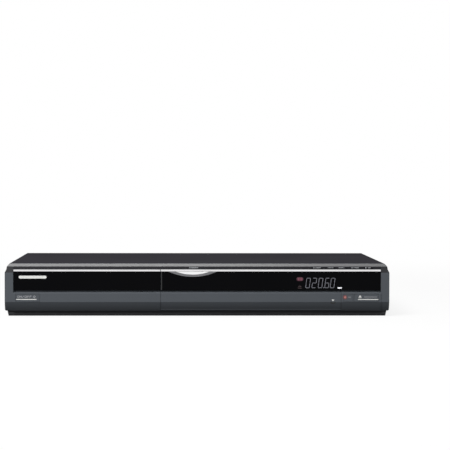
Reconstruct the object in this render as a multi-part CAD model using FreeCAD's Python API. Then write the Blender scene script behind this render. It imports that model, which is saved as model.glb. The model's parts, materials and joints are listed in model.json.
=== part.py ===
"""A hi-fi width disc recorder: motor-driven disc tray, drop-down socket flap and smoked display window.

Sizes are in millimetres. +X is the right side seen from the front, +Y points to the back, +Z up.
The origin lies on the table, under the middle of the bounding box.
"""

import math
import os

import FreeCAD
import Part

V = FreeCAD.Vector
X_AXIS = (1, 0, 0)
Y_AXIS = (0, 1, 0)
Z_AXIS = (0, 0, 1)
DEGREES = 180.0 / math.pi

# Case
COVER_WIDTH = 423.2
BEZEL_OVERHANG = 3.4
BEZEL_DEPTH = 15.0
CASE_DEPTH = 262.0
JACK_REACH = 9.0
SHEET = 0.8
SHEET_GAP = 0.15
FOOT_HEIGHT = 5.0
FOOT_RADIUS = 12.0
FOOT_SIDE_INSET = 45.0
FOOT_FRONT_INSET = 58.0
FOOT_BACK_INSET = 34.0
FOOT_TAPER = 1.5
COVER_BEND = 1.2
VENT_COUNT = 16
VENT_WIDTH = 2.4
VENT_PITCH = 6.0
VENT_BACK_INSET = 124.0
VENT_LOW = 24.0
VENT_HEIGHT = 18.0
FLOOR_SLOTS = 14
FLOOR_SLOT_INSET = 18.0
FLOOR_SLOT_PITCH = 8.0
FLOOR_SLOT_WIDTH = 3.0
FLOOR_SLOT_Y = -20.0
FLOOR_SLOT_LENGTH = 34.0

# Heights of the zones of the front, from the table up
CHIN_CLEARANCE = 0.5
CHIN_HEIGHT = 5.9
LOWER_HEIGHT = 23.05
WINDOW_HEIGHT = 21.15
CHROME_HEIGHT = 2.15
KEY_STRIP_HEIGHT = 3.2
BEVEL_HEIGHT = 2.75

# Depths of the front's steps and curves
WALL = 2.0
FIT_GAP = 0.3
TOUCH_GAP = 0.05
BULGE = 2.5
RECESS_DEPTH = 4.5
RECESS_HEIGHT = 2.7
LEDGE_WALL = 0.9
EDGE_CHAMFER = 0.4
UNDER_DROP = 10.05
UNDER_RECESS = 5.4
UNDER_RADIUS = 45.0
PILLAR_WIDTH = 9.4
PILLAR_SET_BACK = 0.6
SHOULDER_DROP = 9.5
SHOULDER_STEP = 2.2
SHOULDER_LEAN = 1.7
BEVEL_INSET = 3.1
BEVEL_CORNER = 1.3
FOOT_CORNER_STEP = 0.9
FOOT_CORNER_RISE = 1.0
CHIN_SET_BACK = 7.8
CHIN_LEAN = 1.2
CHIN_INSET = 2.5
CHIN_TAPER = 1.1
WINDOW_THICKNESS = 2.4
CHROME_PROUD = 0.8
KEY_STRIP_LEAN = 1.5
BEVEL_RUN = 7.9

# Widths of the drawer and of the fixed corner right of the flap
DRAWER_WIDTH = 164.2
CORNER_WIDTH = 44.6

# Crescent under the bright strip
CRESCENT_OFFSET = 36.0
RIM_CHORD = 55.6
RIM_DROP = 6.1
LAMP_CHORD = 39.0
LAMP_DROP = 3.6
RIM_PROUD = 0.7
LAMP_PROUD = 0.5

# Buttons and keys
BUTTON_GAP = 0.25
BUTTON_FLANGE = 0.8
BUTTON_STEM = 3.0
BUTTON_HEIGHT = 8.4
BUTTON_TOP_DROP = 4.3
BUTTON_INSET = 2.8
POWER_WIDTH = 26.2
RECORD_WIDTH = 10.2
OPEN_WIDTH = 27.2
KEY_COUNT = 5
KEY_END_INSET = 15.0
KEY_PITCH = 14.2
KEY_WIDTH = 10.4
KEY_HEIGHT = 1.8
KEY_PROUD = 0.5
KEY_STEM_WIDTH = 3.0
KEY_STEM_LENGTH = 3.2

# Flap
HINGE_SET_BACK = 6.0
HINGE_RISE = 1.8
BEAD_RADIUS = 1.7
PIN_RADIUS = 1.1
PIN_LENGTH = 1.7
RUNNING_GAP = 0.06
FLAP_THICKNESS = 1.8
BAY_DEPTH = 12.0

# Disc tray and drive
TRAY_RIM = 6.4
TRAY_LIP = 13.5
TRAY_THICKNESS = 5.0
TRAY_RISE = 6.3
TRAY_LENGTH = 184.0
TRAY_TRAVEL = 142.0
DISC_RADIUS = 60.0
DISC_CLEARANCE = 0.6
DISC_RECESS = 2.0
SMALL_DISC_RADIUS = 40.0
SMALL_DISC_RECESS = 0.8
TRAY_HOLE_RADIUS = 19.0
TRAY_SLOT_WIDTH = 46.0
TRAY_SLOT_LENGTH = 66.0
TRAY_UPSTAND = 2.4
TRAY_SIDE_GAP = 1.2
TRAY_RUN_GAP = 4.5
DRIVE_WALL = 2.5
DRIVE_BACK_GAP = 18.4
DRIVE_LIFT = 3.2
DRIVE_TOP_GAP = 5.9
LEDGE_HEIGHT = 2.4
LEDGE_REACH = 6.5

# Gear train
MODULE = 1.0
BACKLASH = 0.16
PRESSURE_ANGLE = 20.0 / DEGREES
ADDENDUM = 0.9
DEDENDUM = 1.2
GEAR_TEETH = 30
PINION_TEETH = 12
RACK_INSET = 15.0
RACK_HEIGHT = 5.0
RACK_BODY = 4.0
GEAR_FRONT_GAP = 1.3
GEAR_THICKNESS = 3.6
GEAR_DROP = 1.2
GEAR_BORE = 2.0
SHOULDER_EXTRA = 1.5
PULLEY_RADIUS = 9.0
PULLEY_FLANGE = 1.0
PULLEY_THICKNESS = 5.4
BELT_THICKNESS = 1.3
MOTOR_PULLEY_RADIUS = 2.8
MOTOR_RADIUS = 10.0
MOTOR_SHAFT_RADIUS = 1.0
MOTOR_OFFSET_X = -48.0
MOTOR_OFFSET_Y = -2.0

# Traverse with the pickup, laid out in its raised place
TILT = 4.0
PIVOT_BEHIND_SPINDLE = 94.0
PIVOT_RADIUS = 2.0
PIVOT_LENGTH = 3.6
PIVOT_LUG_DEPTH = 10.0
DISC_LIFT = 0.8
TRAVERSE_HALF_WIDTH = 40.0
TRAVERSE_FRONT = 20.0
TRAVERSE_BACK = 4.0
TRAVERSE_PLATE = 2.5
TRAVERSE_DROP = 12.8
TURNTABLE_RADIUS = 13.0
TURNTABLE_HEIGHT = 3.4
HUB_RADIUS = 7.3
HUB_HEIGHT = 2.0
SPINDLE_SHAFT_RADIUS = 1.5
SPINDLE_MOTOR_RADIUS = 12.0
RAIL_RADIUS = 1.5
RAIL_OFFSET = 27.0
RAIL_RISE = 2.6
SLED_INNER_RADIUS = 23.0
SLED_TRAVEL = 36.0
SLED_FRONT = 8.0
SLED_BACK = 20.0
SLED_HALF_WIDTH = 20.0
SLED_TOP_DROP = 4.2
LENS_RADIUS = 3.2
LENS_HEIGHT = 1.0
SCREW_OFFSET = -34.0
SCREW_RADIUS = 1.5
SCREW_ROOT_RADIUS = 1.2
RING_START_RADIUS = 1.05
FEED_MOTOR_RADIUS = 3.6
FEED_MOTOR_LENGTH = 18.0
LUG_THICKNESS = 3.0
SCREW_LEAD = 3.0

# Clamper
CLAMPER_RADIUS = 15.0
CLAMPER_DISC_GAP = 1.4
CLAMPER_NECK_RADIUS = 8.0
CLAMPER_NECK_GAP = 0.5
CLAMPER_FLANGE_RADIUS = 11.5
CLAMPER_FLANGE = 1.4

# Boards and what stands on them
BOARD = 1.6
BOSS_HEIGHT = 6.0
BOSS_RADIUS = 4.0
BOSS_INSET = 6.0
MAIN_SIDE_GAP = 10.8
MAIN_FRONT_INSET = 31.0
MAIN_BACK_INSET = 6.0
WING_DEPTH = 58.0
WING_INSET = 13.0
BOARD_SPACING = 5.0
POWER_BOARD_WIDTH = 82.0
POWER_BOARD_INSET = 6.0
POWER_BOARD_FRONT_INSET = 26.0
POWER_BOARD_BACK_INSET = 22.0
PROCESSOR_SIZE = 30.0
PROCESSOR_HEIGHT = 2.4
MEMORY_WIDTH = 10.0
MEMORY_DEPTH = 18.0
MEMORY_OFFSET = 34.0
MEMORY_SPREAD = 12.0
ENCODER_SIZE = 20.0
ENCODER_OFFSET = 36.0
ENCODER_SPREAD = 40.0
CHIP_HEIGHT = 1.5
PLUG_WIDTH = 24.0
PLUG_DEPTH = 6.0
PLUG_HEIGHT = 5.0
PLUG_OFFSET = 60.0
HEAT_SINK_SIZE = 34.0
HEAT_SINK_HEIGHT = 12.0
FIN_COUNT = 7
FIN_THICKNESS = 1.6
TRANSFORMER_SIZE = 32.0
TRANSFORMER_HEIGHT = 26.0
CAPACITOR_RADIUS = 11.0
CAPACITOR_HEIGHT = 34.0
RIBBON_WIDTH = 32.0
RIBBON_THICKNESS = 0.8
RIBBON_RISE = 12.0
RIBBON_REACH = 14.0

# Rear sockets
RCA_INSET = 92.0
RCA_PITCH_X = 20.0
RCA_COLUMNS = 4
RCA_ROWS = 3
RCA_PITCH_Z = 13.5
RCA_LOWEST = 19.0
RCA_RADIUS = 4.15
RCA_BORE = 1.7
RCA_REACH = 7.5
RCA_BLOCK_WIDTH = 13.0
RCA_BLOCK_DEPTH = 13.0
AERIAL_INSET = 45.0
AERIAL_PITCH = 26.0
AERIAL_RADIUS = 4.7
AERIAL_BORE = 1.4
TUNER_WIDTH = 54.0
TUNER_FRONT_GAP = 9.8
TUNER_HEIGHT = 20.0
HDMI_OFFSET = 26.0
HDMI_WIDTH = 15.0
HDMI_HEIGHT = 6.0
OPTICAL_OFFSET = 55.0
OPTICAL_WIDTH = 11.0
OPTICAL_HEIGHT = 11.0
SOCKET_DEPTH = 14.0
HOLE_GAP = 0.5
INLET_INSET = 26.0
INLET_Z = 27.0
INLET_WIDTH = 20.0
INLET_HEIGHT = 12.0
INLET_DEPTH = 15.0
INLET_FLANGE = 2.0
INLET_RIM = 1.4
INLET_WALL = 1.6
INLET_PIN_RADIUS = 1.2
INLET_PIN_PITCH = 8.6

# Fan
FAN_INSET = 72.0
FAN_SIZE = 40.0
FAN_DEPTH = 15.0
FAN_BORE = 18.6
FAN_TIP_GAP = 0.6
FAN_HUB = 9.5
FAN_BLADES = 7
FAN_BLADE_THICKNESS = 1.4
FAN_SHAFT_RADIUS = 1.5
FAN_BLADE_ANGLE = 38.0
GRILLE_SLOT = 2.6
GRILLE_PITCH = 4.6

# Front sockets in the bay behind the flap
JACK_Z = 18.0
FRONT_RCA_INSET = 60.6
FRONT_RCA_PITCH = 18.0
FRONT_JACK_COUNT = 3
S_VIDEO_OFFSET = 22.0
S_VIDEO_RADIUS = 6.0
LINK_OFFSET = 40.0
LINK_WIDTH = 10.0
LINK_HEIGHT = 5.0
CARD_INSET = 28.4
CARD_WIDTH = 30.0
CARD_HEIGHT = 5.6
SLOT_SIDE_WALL = 1.2
CARD_SLOT_HEIGHT = 2.6
JACK_BODY_DEPTH = 8.6
FRONT_JACK_REACH = 5.4

# Display
DISPLAY_INSET = 66.2
DISPLAY_WIDTH = 68.0
DISPLAY_HEIGHT = 15.0
DISPLAY_DEPTH = 5.2
FRONT_BOARD_HEIGHT = 18.6

# Screws
SCREW_THREAD_RADIUS = 1.5
SCREW_HEAD_RADIUS = 3.2
SCREW_HEAD_HEIGHT = 1.8
SCREW_LENGTH = 5.0
SCREW_CROSS_LENGTH = 3.8
SCREW_CROSS_WIDTH = 0.8
SCREW_CROSS_DEPTH = 0.9
SIDE_SCREW_Z = 11.0
FLANGE_HEIGHT = 10.0
LIP_HEIGHT = 7.0
SIDE_SCREW_INSET = 36.0
BACK_SCREW_INSET = 20.0

# Levels worked out from the zones
LOWER_BOTTOM = CHIN_CLEARANCE + CHIN_HEIGHT
WINDOW_BOTTOM = LOWER_BOTTOM + LOWER_HEIGHT
CHROME_BOTTOM = WINDOW_BOTTOM + WINDOW_HEIGHT
KEY_STRIP_BOTTOM = CHROME_BOTTOM + CHROME_HEIGHT
BEVEL_BOTTOM = KEY_STRIP_BOTTOM + KEY_STRIP_HEIGHT
TOP = BEVEL_BOTTOM + BEVEL_HEIGHT
BEVEL_MIDDLE = BEVEL_BOTTOM + BEVEL_HEIGHT / 2
SHOULDER_Z = TOP - SHOULDER_DROP
CREASE_Z = LOWER_BOTTOM + UNDER_DROP
RECESS_BOTTOM = WINDOW_BOTTOM - RECESS_HEIGHT

# Depths worked out from the case
DEPTH = BEZEL_DEPTH + CASE_DEPTH + JACK_REACH
FRONT = -DEPTH / 2
BEZEL_BACK = FRONT + BEZEL_DEPTH
CASE_BACK = BEZEL_BACK + CASE_DEPTH
REAR = CASE_BACK + JACK_REACH
PANEL_BACK = CASE_BACK - SHEET - SHEET_GAP
PANEL_FRONT = PANEL_BACK - SHEET
WINDOW_FACE = FRONT + BULGE
RECESS_FACE = FRONT + RECESS_DEPTH
CHROME_FACE = WINDOW_FACE - CHROME_PROUD
WINDOW_BACK = WINDOW_FACE + WINDOW_THICKNESS
SEAT_FACE = WINDOW_BACK + TOUCH_GAP
SEAT_BACK = SEAT_FACE + WALL
PILLAR_FACE = FRONT + PILLAR_SET_BACK
STRIP_FOOT_FACE = WINDOW_FACE - PILLAR_SET_BACK / 2
STRIP_TOP_FACE = STRIP_FOOT_FACE + KEY_STRIP_LEAN
BEVEL_BACK = STRIP_TOP_FACE + BEVEL_RUN
BAY_WALL = FRONT + BAY_DEPTH
BAY_BACK = BAY_WALL + WALL

# Widths worked out from the case
HALF_COVER = COVER_WIDTH / 2
HALF_WIDTH = HALF_COVER + BEZEL_OVERHANG
PILLAR_INNER = HALF_WIDTH - PILLAR_WIDTH
CHIN_HALF = HALF_WIDTH - CHIN_INSET
BEVEL_HALF = HALF_WIDTH - BEVEL_INSET
PANEL_HALF = HALF_COVER - SHEET - SHEET_GAP
TRAY_SEAM_X = DRAWER_WIDTH - PILLAR_INNER
FLAP_RIGHT_X = PILLAR_INNER - CORNER_WIDTH
POWER_LEFT = BUTTON_INSET - PILLAR_INNER
RECORD_LEFT = FLAP_RIGHT_X + BUTTON_INSET
OPEN_LEFT = PILLAR_INNER - BUTTON_INSET - OPEN_WIDTH
KEY_FIRST_X = PILLAR_INNER - KEY_END_INSET - (KEY_COUNT - 1) * KEY_PITCH
CRESCENT_X = TRAY_SEAM_X + CRESCENT_OFFSET
DISPLAY_X = PILLAR_INNER - DISPLAY_INSET
FRONT_RCA_X = FLAP_RIGHT_X - FRONT_RCA_INSET
S_VIDEO_X = FRONT_RCA_X - S_VIDEO_OFFSET
LINK_X = FRONT_RCA_X - LINK_OFFSET
CARD_X = TRAY_SEAM_X + CARD_INSET
RCA_FIRST_X = RCA_INSET - HALF_COVER
AERIAL_X = AERIAL_INSET - HALF_COVER
INLET_X = HALF_COVER - INLET_INSET
FAN_X = HALF_COVER - FAN_INSET

# Levels inside the case
FLOOR_TOP = FOOT_HEIGHT + SHEET
BOARD_BOTTOM = FLOOR_TOP + BOSS_HEIGHT
BOARD_TOP = BOARD_BOTTOM + BOARD
ROOF_BOTTOM = TOP - SHEET

# Tray and drive places
TRAY_FRONT_LEFT = -PILLAR_INNER + FIT_GAP
TRAY_FRONT_RIGHT = TRAY_SEAM_X - FIT_GAP
TRAY_X = (TRAY_FRONT_LEFT + TRAY_FRONT_RIGHT) / 2
TRAY_BOTTOM = WINDOW_BOTTOM + TRAY_RISE
TRAY_TOP = TRAY_BOTTOM + TRAY_THICKNESS
DISC_FLOOR = TRAY_TOP - DISC_RECESS
TRAY_REAR = WINDOW_BACK + TRAY_LENGTH
TRAY_HALF = DISC_RADIUS + DISC_CLEARANCE + TRAY_RIM
SPINDLE_Y = WINDOW_BACK + TRAY_LIP + DISC_RADIUS + DISC_CLEARANCE
DRIVE_FRONT = BEZEL_BACK + FIT_GAP
DRIVE_REAR = TRAY_REAR + DRIVE_BACK_GAP
RIBBON_BACK = DRIVE_REAR + RIBBON_REACH
TUNER_FRONT = RIBBON_BACK + TUNER_FRONT_GAP
DRIVE_BOTTOM = FLOOR_TOP + DRIVE_LIFT
DRIVE_FLOOR = DRIVE_BOTTOM + WALL
DRIVE_TOP = TRAY_TOP + DRIVE_TOP_GAP
DRIVE_INNER = TRAY_HALF + TRAY_RUN_GAP
DRIVE_HALF = DRIVE_INNER + DRIVE_WALL
COVER_PLATE_BOTTOM = DRIVE_TOP + TOUCH_GAP
COVER_PLATE_TOP = COVER_PLATE_BOTTOM + SHEET

# Gear places
RACK_PITCH_X = TRAY_X + TRAY_HALF - RACK_INSET
RACK_BOTTOM = TRAY_BOTTOM - RACK_HEIGHT
GEAR_RADIUS = MODULE * GEAR_TEETH / 2
PINION_RADIUS = MODULE * PINION_TEETH / 2
GEAR_X = RACK_PITCH_X - GEAR_RADIUS
GEAR_Y = DRIVE_FRONT + DRIVE_WALL + GEAR_FRONT_GAP + ADDENDUM * MODULE + GEAR_RADIUS
GEAR_TOP = TRAY_BOTTOM - GEAR_DROP
GEAR_BOTTOM = GEAR_TOP - GEAR_THICKNESS
PULLEY_X = GEAR_X - GEAR_RADIUS - PINION_RADIUS
PULLEY_Y = GEAR_Y
PULLEY_TOP = GEAR_BOTTOM - FIT_GAP * 2
PULLEY_BOTTOM = PULLEY_TOP - PULLEY_THICKNESS
MOTOR_X = PULLEY_X + MOTOR_OFFSET_X
MOTOR_Y = GEAR_Y + MOTOR_OFFSET_Y

# Traverse places, raised
DISC_SEAT = DISC_FLOOR + DISC_LIFT
PLATE_BOTTOM = DISC_SEAT - TRAVERSE_DROP
PLATE_TOP = PLATE_BOTTOM + TRAVERSE_PLATE
PIVOT_Y = SPINDLE_Y + PIVOT_BEHIND_SPINDLE
PIVOT_Z = PLATE_BOTTOM + TRAVERSE_PLATE / 2
TURNTABLE_BOTTOM = DISC_SEAT - TURNTABLE_HEIGHT
RAIL_Z = PLATE_TOP + RAIL_RISE
SLED_Y = SPINDLE_Y + SLED_INNER_RADIUS
SLED_TOP = DISC_SEAT - SLED_TOP_DROP

# Rear and inner places
MAIN_BACK = PANEL_FRONT - MAIN_BACK_INSET
MAIN_FRONT = BEZEL_BACK + MAIN_FRONT_INSET
MAIN_LEFT = TRAY_X + DRIVE_HALF + MAIN_SIDE_GAP
POWER_BOARD_RIGHT = PANEL_HALF - POWER_BOARD_INSET
POWER_BOARD_LEFT = POWER_BOARD_RIGHT - POWER_BOARD_WIDTH
POWER_BOARD_FRONT = BEZEL_BACK + POWER_BOARD_FRONT_INSET
POWER_BOARD_BACK = PANEL_FRONT - POWER_BOARD_BACK_INSET
MAIN_RIGHT = POWER_BOARD_LEFT - BOARD_SPACING
WING_LEFT = WING_INSET - PANEL_HALF
WING_FRONT = MAIN_BACK - WING_DEPTH
HDMI_X = MAIN_LEFT + HDMI_OFFSET
OPTICAL_X = MAIN_LEFT + OPTICAL_OFFSET
FRONT_BOARD_FACE = SEAT_BACK + DISPLAY_DEPTH + TOUCH_GAP * 2
HINGE_Y = FRONT + HINGE_SET_BACK
HINGE_Z = LOWER_BOTTOM + HINGE_RISE
FLAP_LEFT = TRAY_SEAM_X + FIT_GAP
FLAP_RIGHT = FLAP_RIGHT_X - FIT_GAP


def box(x0, x1, y0, y1, z0, z1):
    """A block between two corners."""
    return Part.makeBox(x1 - x0, y1 - y0, z1 - z0, V(x0, y0, z0))


def rod(radius, start, direction, length):
    """A round bar that starts at a point and runs along a direction."""
    return Part.makeCylinder(radius, length, V(*start), V(*direction))


def ring(outer, inner, start, direction, length):
    """A tube with its own bore."""
    return rod(outer, start, direction, length).cut(rod(inner, start, direction, length))


def polygon_face(points):
    """A flat face from corner vectors."""
    return Part.Face(Part.makePolygon(points + [points[0]]))


def extrude_x(points, x0, x1):
    """Extrude (y, z) corners along X."""
    return polygon_face([V(x0, y, z) for y, z in points]).extrude(V(x1 - x0, 0, 0))


def extrude_y(points, y0, y1):
    """Extrude (x, z) corners along Y."""
    return polygon_face([V(x, y0, z) for x, z in points]).extrude(V(0, y1 - y0, 0))


def extrude_z(points, z0, z1):
    """Extrude (x, y) corners along Z."""
    return polygon_face([V(x, y, z0) for x, y in points]).extrude(V(0, 0, z1 - z0))


def fuse(shapes):
    """Join shapes that touch or overlap, and merge their coplanar faces."""
    return shapes[0].multiFuse(shapes[1:]).removeSplitter()


def cut(shape, tools):
    """Cut a list of tools from a shape."""
    return shape.cut(tools)


def group(shapes):
    """Separate solids that share one node."""
    return Part.makeCompound(shapes)


def save(name, shape):
    """Write one node."""
    shape.exportStep(f"parts/{name}.step")


def tilt(shape):
    """Lower the traverse's front end about its rear pivots."""
    turned = shape.copy()
    turned.rotate(V(TRAY_X, PIVOT_Y, PIVOT_Z), V(*X_AXIS), TILT)
    return turned


def arc_edge(centre, radius, start, end):
    """An arc in the YZ plane; angles rise from straight ahead (-Y) towards +Z."""
    cy, cz = centre
    middle = (start + end) / 2
    points = [
        V(0, cy - radius * math.cos(angle), cz + radius * math.sin(angle))
        for angle in (start, middle, end)
    ]
    return Part.Arc(*points).toShape(), points[0], points[2]


def line_edge(first, second):
    return Part.LineSegment(first, second).toShape()


def front_outline():
    """The front seen from straight ahead: inset chin, pillars and sloping shoulders."""
    right = [
        (CHIN_HALF - CHIN_TAPER, CHIN_CLEARANCE),
        (CHIN_HALF, LOWER_BOTTOM),
        (HALF_WIDTH - FOOT_CORNER_STEP, LOWER_BOTTOM),
        (HALF_WIDTH, LOWER_BOTTOM + FOOT_CORNER_RISE),
        (HALF_WIDTH, SHOULDER_Z),
        (HALF_WIDTH - SHOULDER_LEAN, KEY_STRIP_BOTTOM),
        (HALF_WIDTH - SHOULDER_STEP, BEVEL_BOTTOM),
        (BEVEL_HALF, TOP - BEVEL_CORNER),
        (BEVEL_HALF - BEVEL_CORNER, TOP),
    ]
    return right + [(-x, z) for x, z in reversed(right)]


def under_arc(inset, foot):
    """The curve that rolls under from the crease down to foot, with its upper and lower end."""
    lean = math.atan2(UNDER_RECESS, UNDER_DROP)
    half_turn = math.asin(math.hypot(UNDER_RECESS, UNDER_DROP) / 2 / UNDER_RADIUS)
    centre_y = FRONT + UNDER_RADIUS * math.cos(lean - half_turn)
    centre_z = CREASE_Z + UNDER_RADIUS * math.sin(lean - half_turn)
    radius = UNDER_RADIUS - inset
    start = math.acos((centre_y - FRONT - inset) / radius)
    end = math.asin((centre_z - foot) / radius)
    return arc_edge((centre_y, centre_z), radius, -start, -end)


def lower_section(inset, x0, x1, back, bottom=LOWER_BOTTOM):
    """The lower front: a recess under the window, a flat face, a crease and a curve that rolls under."""
    top = WINDOW_BOTTOM - inset
    foot = bottom + inset
    ledge = RECESS_BOTTOM - (LEDGE_WALL if inset else 0)
    chamfer = 0 if inset else EDGE_CHAMFER
    under, under_start, under_end = under_arc(inset, foot)
    corners = [
        under_end,
        V(0, back, foot),
        V(0, back, top),
        V(0, RECESS_FACE + inset, top),
        V(0, RECESS_FACE + inset, ledge),
        V(0, FRONT + inset + chamfer, ledge),
        V(0, FRONT + inset, ledge - chamfer),
        under_start,
    ]
    pairs = [(a, b) for a, b in zip(corners, corners[1:]) if a.distanceToPoint(b) > 0]
    wire = Part.Wire([under] + [line_edge(a, b) for a, b in pairs])
    face = Part.Face(wire)
    face.translate(V(x0, 0, 0))
    return face.extrude(V(x1 - x0, 0, 0))


def pillar(side):
    """One end pillar, hollow from behind, with a sloping shoulder."""
    inner = side * PILLAR_INNER
    outer = side * HALF_WIDTH
    x0, x1 = sorted((inner, outer))
    under, under_start, under_end = under_arc(PILLAR_SET_BACK, LOWER_BOTTOM)
    corners = [
        under_end,
        V(0, BEZEL_BACK, LOWER_BOTTOM),
        V(0, BEZEL_BACK, TOP),
        V(0, BEVEL_BACK + TOUCH_GAP, TOP),
        V(0, BEVEL_BACK + TOUCH_GAP, BEVEL_MIDDLE - TOUCH_GAP),
        V(0, SEAT_BACK, BEVEL_BOTTOM - TOUCH_GAP),
        V(0, STRIP_TOP_FACE, BEVEL_BOTTOM - TOUCH_GAP),
        V(0, PILLAR_FACE, SHOULDER_Z),
        under_start,
    ]
    edges = [under] + [line_edge(a, b) for a, b in zip(corners, corners[1:])]
    face = Part.Face(Part.Wire(Part.__sortEdges__(edges)))
    face.translate(V(x0, 0, 0))
    solid = face.extrude(V(x1 - x0, 0, 0))
    solid = solid.common(extrude_y(front_outline(), FRONT, BEZEL_BACK))
    hollow_x = sorted((side * (PILLAR_INNER + WALL), side * (HALF_WIDTH - WALL - SHOULDER_STEP)))
    open_x = sorted((side * (PILLAR_INNER - WALL), side * (PILLAR_INNER + WALL)))
    floor = CREASE_Z
    roof = SHOULDER_Z + WALL
    hollow = box(*hollow_x, PILLAR_FACE + WALL, BEZEL_BACK - WALL, floor, roof)
    inward = box(*open_x, SEAT_BACK + WALL, BEZEL_BACK - WALL, floor, roof)
    return cut(solid, [hollow, inward])


def chin():
    """The inset lip under the front, open towards the back."""
    outer = [
        (FRONT + CHIN_SET_BACK, LOWER_BOTTOM),
        (FRONT + CHIN_SET_BACK + CHIN_LEAN, CHIN_CLEARANCE),
        (BEZEL_BACK, CHIN_CLEARANCE),
        (BEZEL_BACK, LOWER_BOTTOM),
    ]
    inner = [
        (FRONT + CHIN_SET_BACK + CHIN_LEAN + WALL, LOWER_BOTTOM - WALL),
        (FRONT + CHIN_SET_BACK + CHIN_LEAN + WALL, CHIN_CLEARANCE + WALL),
        (BEZEL_BACK, CHIN_CLEARANCE + WALL),
        (BEZEL_BACK, LOWER_BOTTOM - WALL),
    ]
    lip = extrude_x(outer, -CHIN_HALF, CHIN_HALF)
    lip = lip.common(extrude_y(front_outline(), FRONT, BEZEL_BACK))
    hollow_half = CHIN_HALF - CHIN_TAPER - WALL
    return cut(lip, [extrude_x(inner, -hollow_half, hollow_half)])


def lower_block(x0, x1):
    """A fixed stretch of the lower front, hollow from behind."""
    outer = lower_section(0, x0, x1, BEZEL_BACK)
    return cut(outer, [lower_section(WALL, x0 + WALL, x1 - WALL, BEZEL_BACK + WALL)])


def bevel_strip():
    """The bright sloping edge along the top of the front."""
    points = [
        (STRIP_TOP_FACE, BEVEL_BOTTOM),
        (BEVEL_BACK, TOP),
        (BEVEL_BACK, BEVEL_MIDDLE),
        (SEAT_BACK, BEVEL_BOTTOM),
    ]
    strip = extrude_x(points, -HALF_WIDTH, HALF_WIDTH)
    return strip.common(extrude_y(front_outline(), FRONT, BEZEL_BACK))


def top_bend():
    """The moulding under and behind the bevel strip, in one with the front's back wall."""
    middle = BEVEL_MIDDLE - TOUCH_GAP
    points = [
        (SEAT_FACE, BEVEL_BOTTOM - TOUCH_GAP),
        (SEAT_BACK, BEVEL_BOTTOM - TOUCH_GAP),
        (BEVEL_BACK + TOUCH_GAP, middle),
        (BEVEL_BACK + TOUCH_GAP, TOP),
        (BEZEL_BACK, TOP),
        (BEZEL_BACK, middle - WALL),
        (BEVEL_BACK, middle - WALL),
        (SEAT_BACK, BEVEL_BOTTOM - WALL),
        (SEAT_FACE, BEVEL_BOTTOM - WALL),
    ]
    return extrude_x(points, -PILLAR_INNER - WALL, PILLAR_INNER + WALL)


def key_centres():
    """X of each key on the top strip."""
    return [KEY_FIRST_X + index * KEY_PITCH for index in range(KEY_COUNT)]


def key_middle_z():
    return KEY_STRIP_BOTTOM + KEY_STRIP_HEIGHT / 2


def key_block(x, grow, y0, y1):
    """The room a key fills, grown all round by a clearance."""
    half = KEY_WIDTH / 2 + grow
    rise = KEY_HEIGHT / 2 + grow
    middle = key_middle_z()
    return box(x - half, x + half, y0, y1, middle - rise, middle + rise)


def key_stem(x, grow, y0, y1):
    """The stem that carries a key's press to its switch."""
    half = KEY_STEM_WIDTH / 2 + grow
    rise = KEY_HEIGHT / 4 + grow
    middle = key_middle_z()
    return box(x - half, x + half, y0, y1, middle - rise, middle + rise)


def button_block(left, width, grow, y0, y1):
    """The room a button fills, grown all round by a clearance."""
    top = WINDOW_BOTTOM - BUTTON_TOP_DROP
    return box(left - grow, left + width + grow, y0, y1, top - BUTTON_HEIGHT - grow, top + grow)


def button(left, width):
    """A push button: a cap through the wall, a flange behind it and a stem."""
    cap = button_block(left, width, 0, FRONT, FRONT + WALL + FIT_GAP)
    back = FRONT + WALL + FIT_GAP
    flange = button_block(left, width, BUTTON_GAP + BUTTON_FLANGE / 2, back, back + BUTTON_FLANGE)
    middle_x = left + width / 2
    middle_z = WINDOW_BOTTOM - BUTTON_TOP_DROP - BUTTON_HEIGHT / 2
    stem = rod(BUTTON_STEM / 2, (middle_x, back + BUTTON_FLANGE, middle_z), Y_AXIS, BUTTON_STEM)
    return fuse([cap, flange, stem])


def front_jack_places():
    """X of the three round sockets behind the flap."""
    return [FRONT_RCA_X + index * FRONT_RCA_PITCH for index in range(FRONT_JACK_COUNT)]


def bay_holes():
    """Holes in the bay's wall for the front sockets."""
    depth = BAY_BACK - BAY_WALL
    holes = [
        rod(RCA_RADIUS + HOLE_GAP, (x, BAY_WALL, JACK_Z), Y_AXIS, depth)
        for x in front_jack_places()
    ]
    holes.append(rod(S_VIDEO_RADIUS + HOLE_GAP, (S_VIDEO_X, BAY_WALL, JACK_Z), Y_AXIS, depth))
    for x, width, height in front_slots():
        half = width / 2 + FIT_GAP
        rise = height / 2 + FIT_GAP
        holes.append(box(x - half, x + half, BAY_WALL, BAY_BACK, JACK_Z - rise, JACK_Z + rise))
    return holes


def front_slots():
    """The two flat sockets of the bay as (x, width, height)."""
    return [(LINK_X, LINK_WIDTH, LINK_HEIGHT), (CARD_X, CARD_WIDTH, CARD_HEIGHT)]


def tray_slot():
    """The hole in the front's back wall that the tray runs through."""
    half = TRAY_HALF + TRAY_SIDE_GAP
    low = RACK_BOTTOM - FIT_GAP
    high = TRAY_TOP + TRAY_UPSTAND + TRAY_SIDE_GAP
    return box(TRAY_X - half, TRAY_X + half, SEAT_FACE, SEAT_BACK, low, high)


def display_hole():
    half = DISPLAY_WIDTH / 2 - WALL
    rise = DISPLAY_HEIGHT / 2 - WALL / 2
    middle = (WINDOW_BOTTOM + CHROME_BOTTOM) / 2
    return box(DISPLAY_X - half, DISPLAY_X + half, SEAT_FACE, SEAT_BACK, middle - rise, middle + rise)


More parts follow.
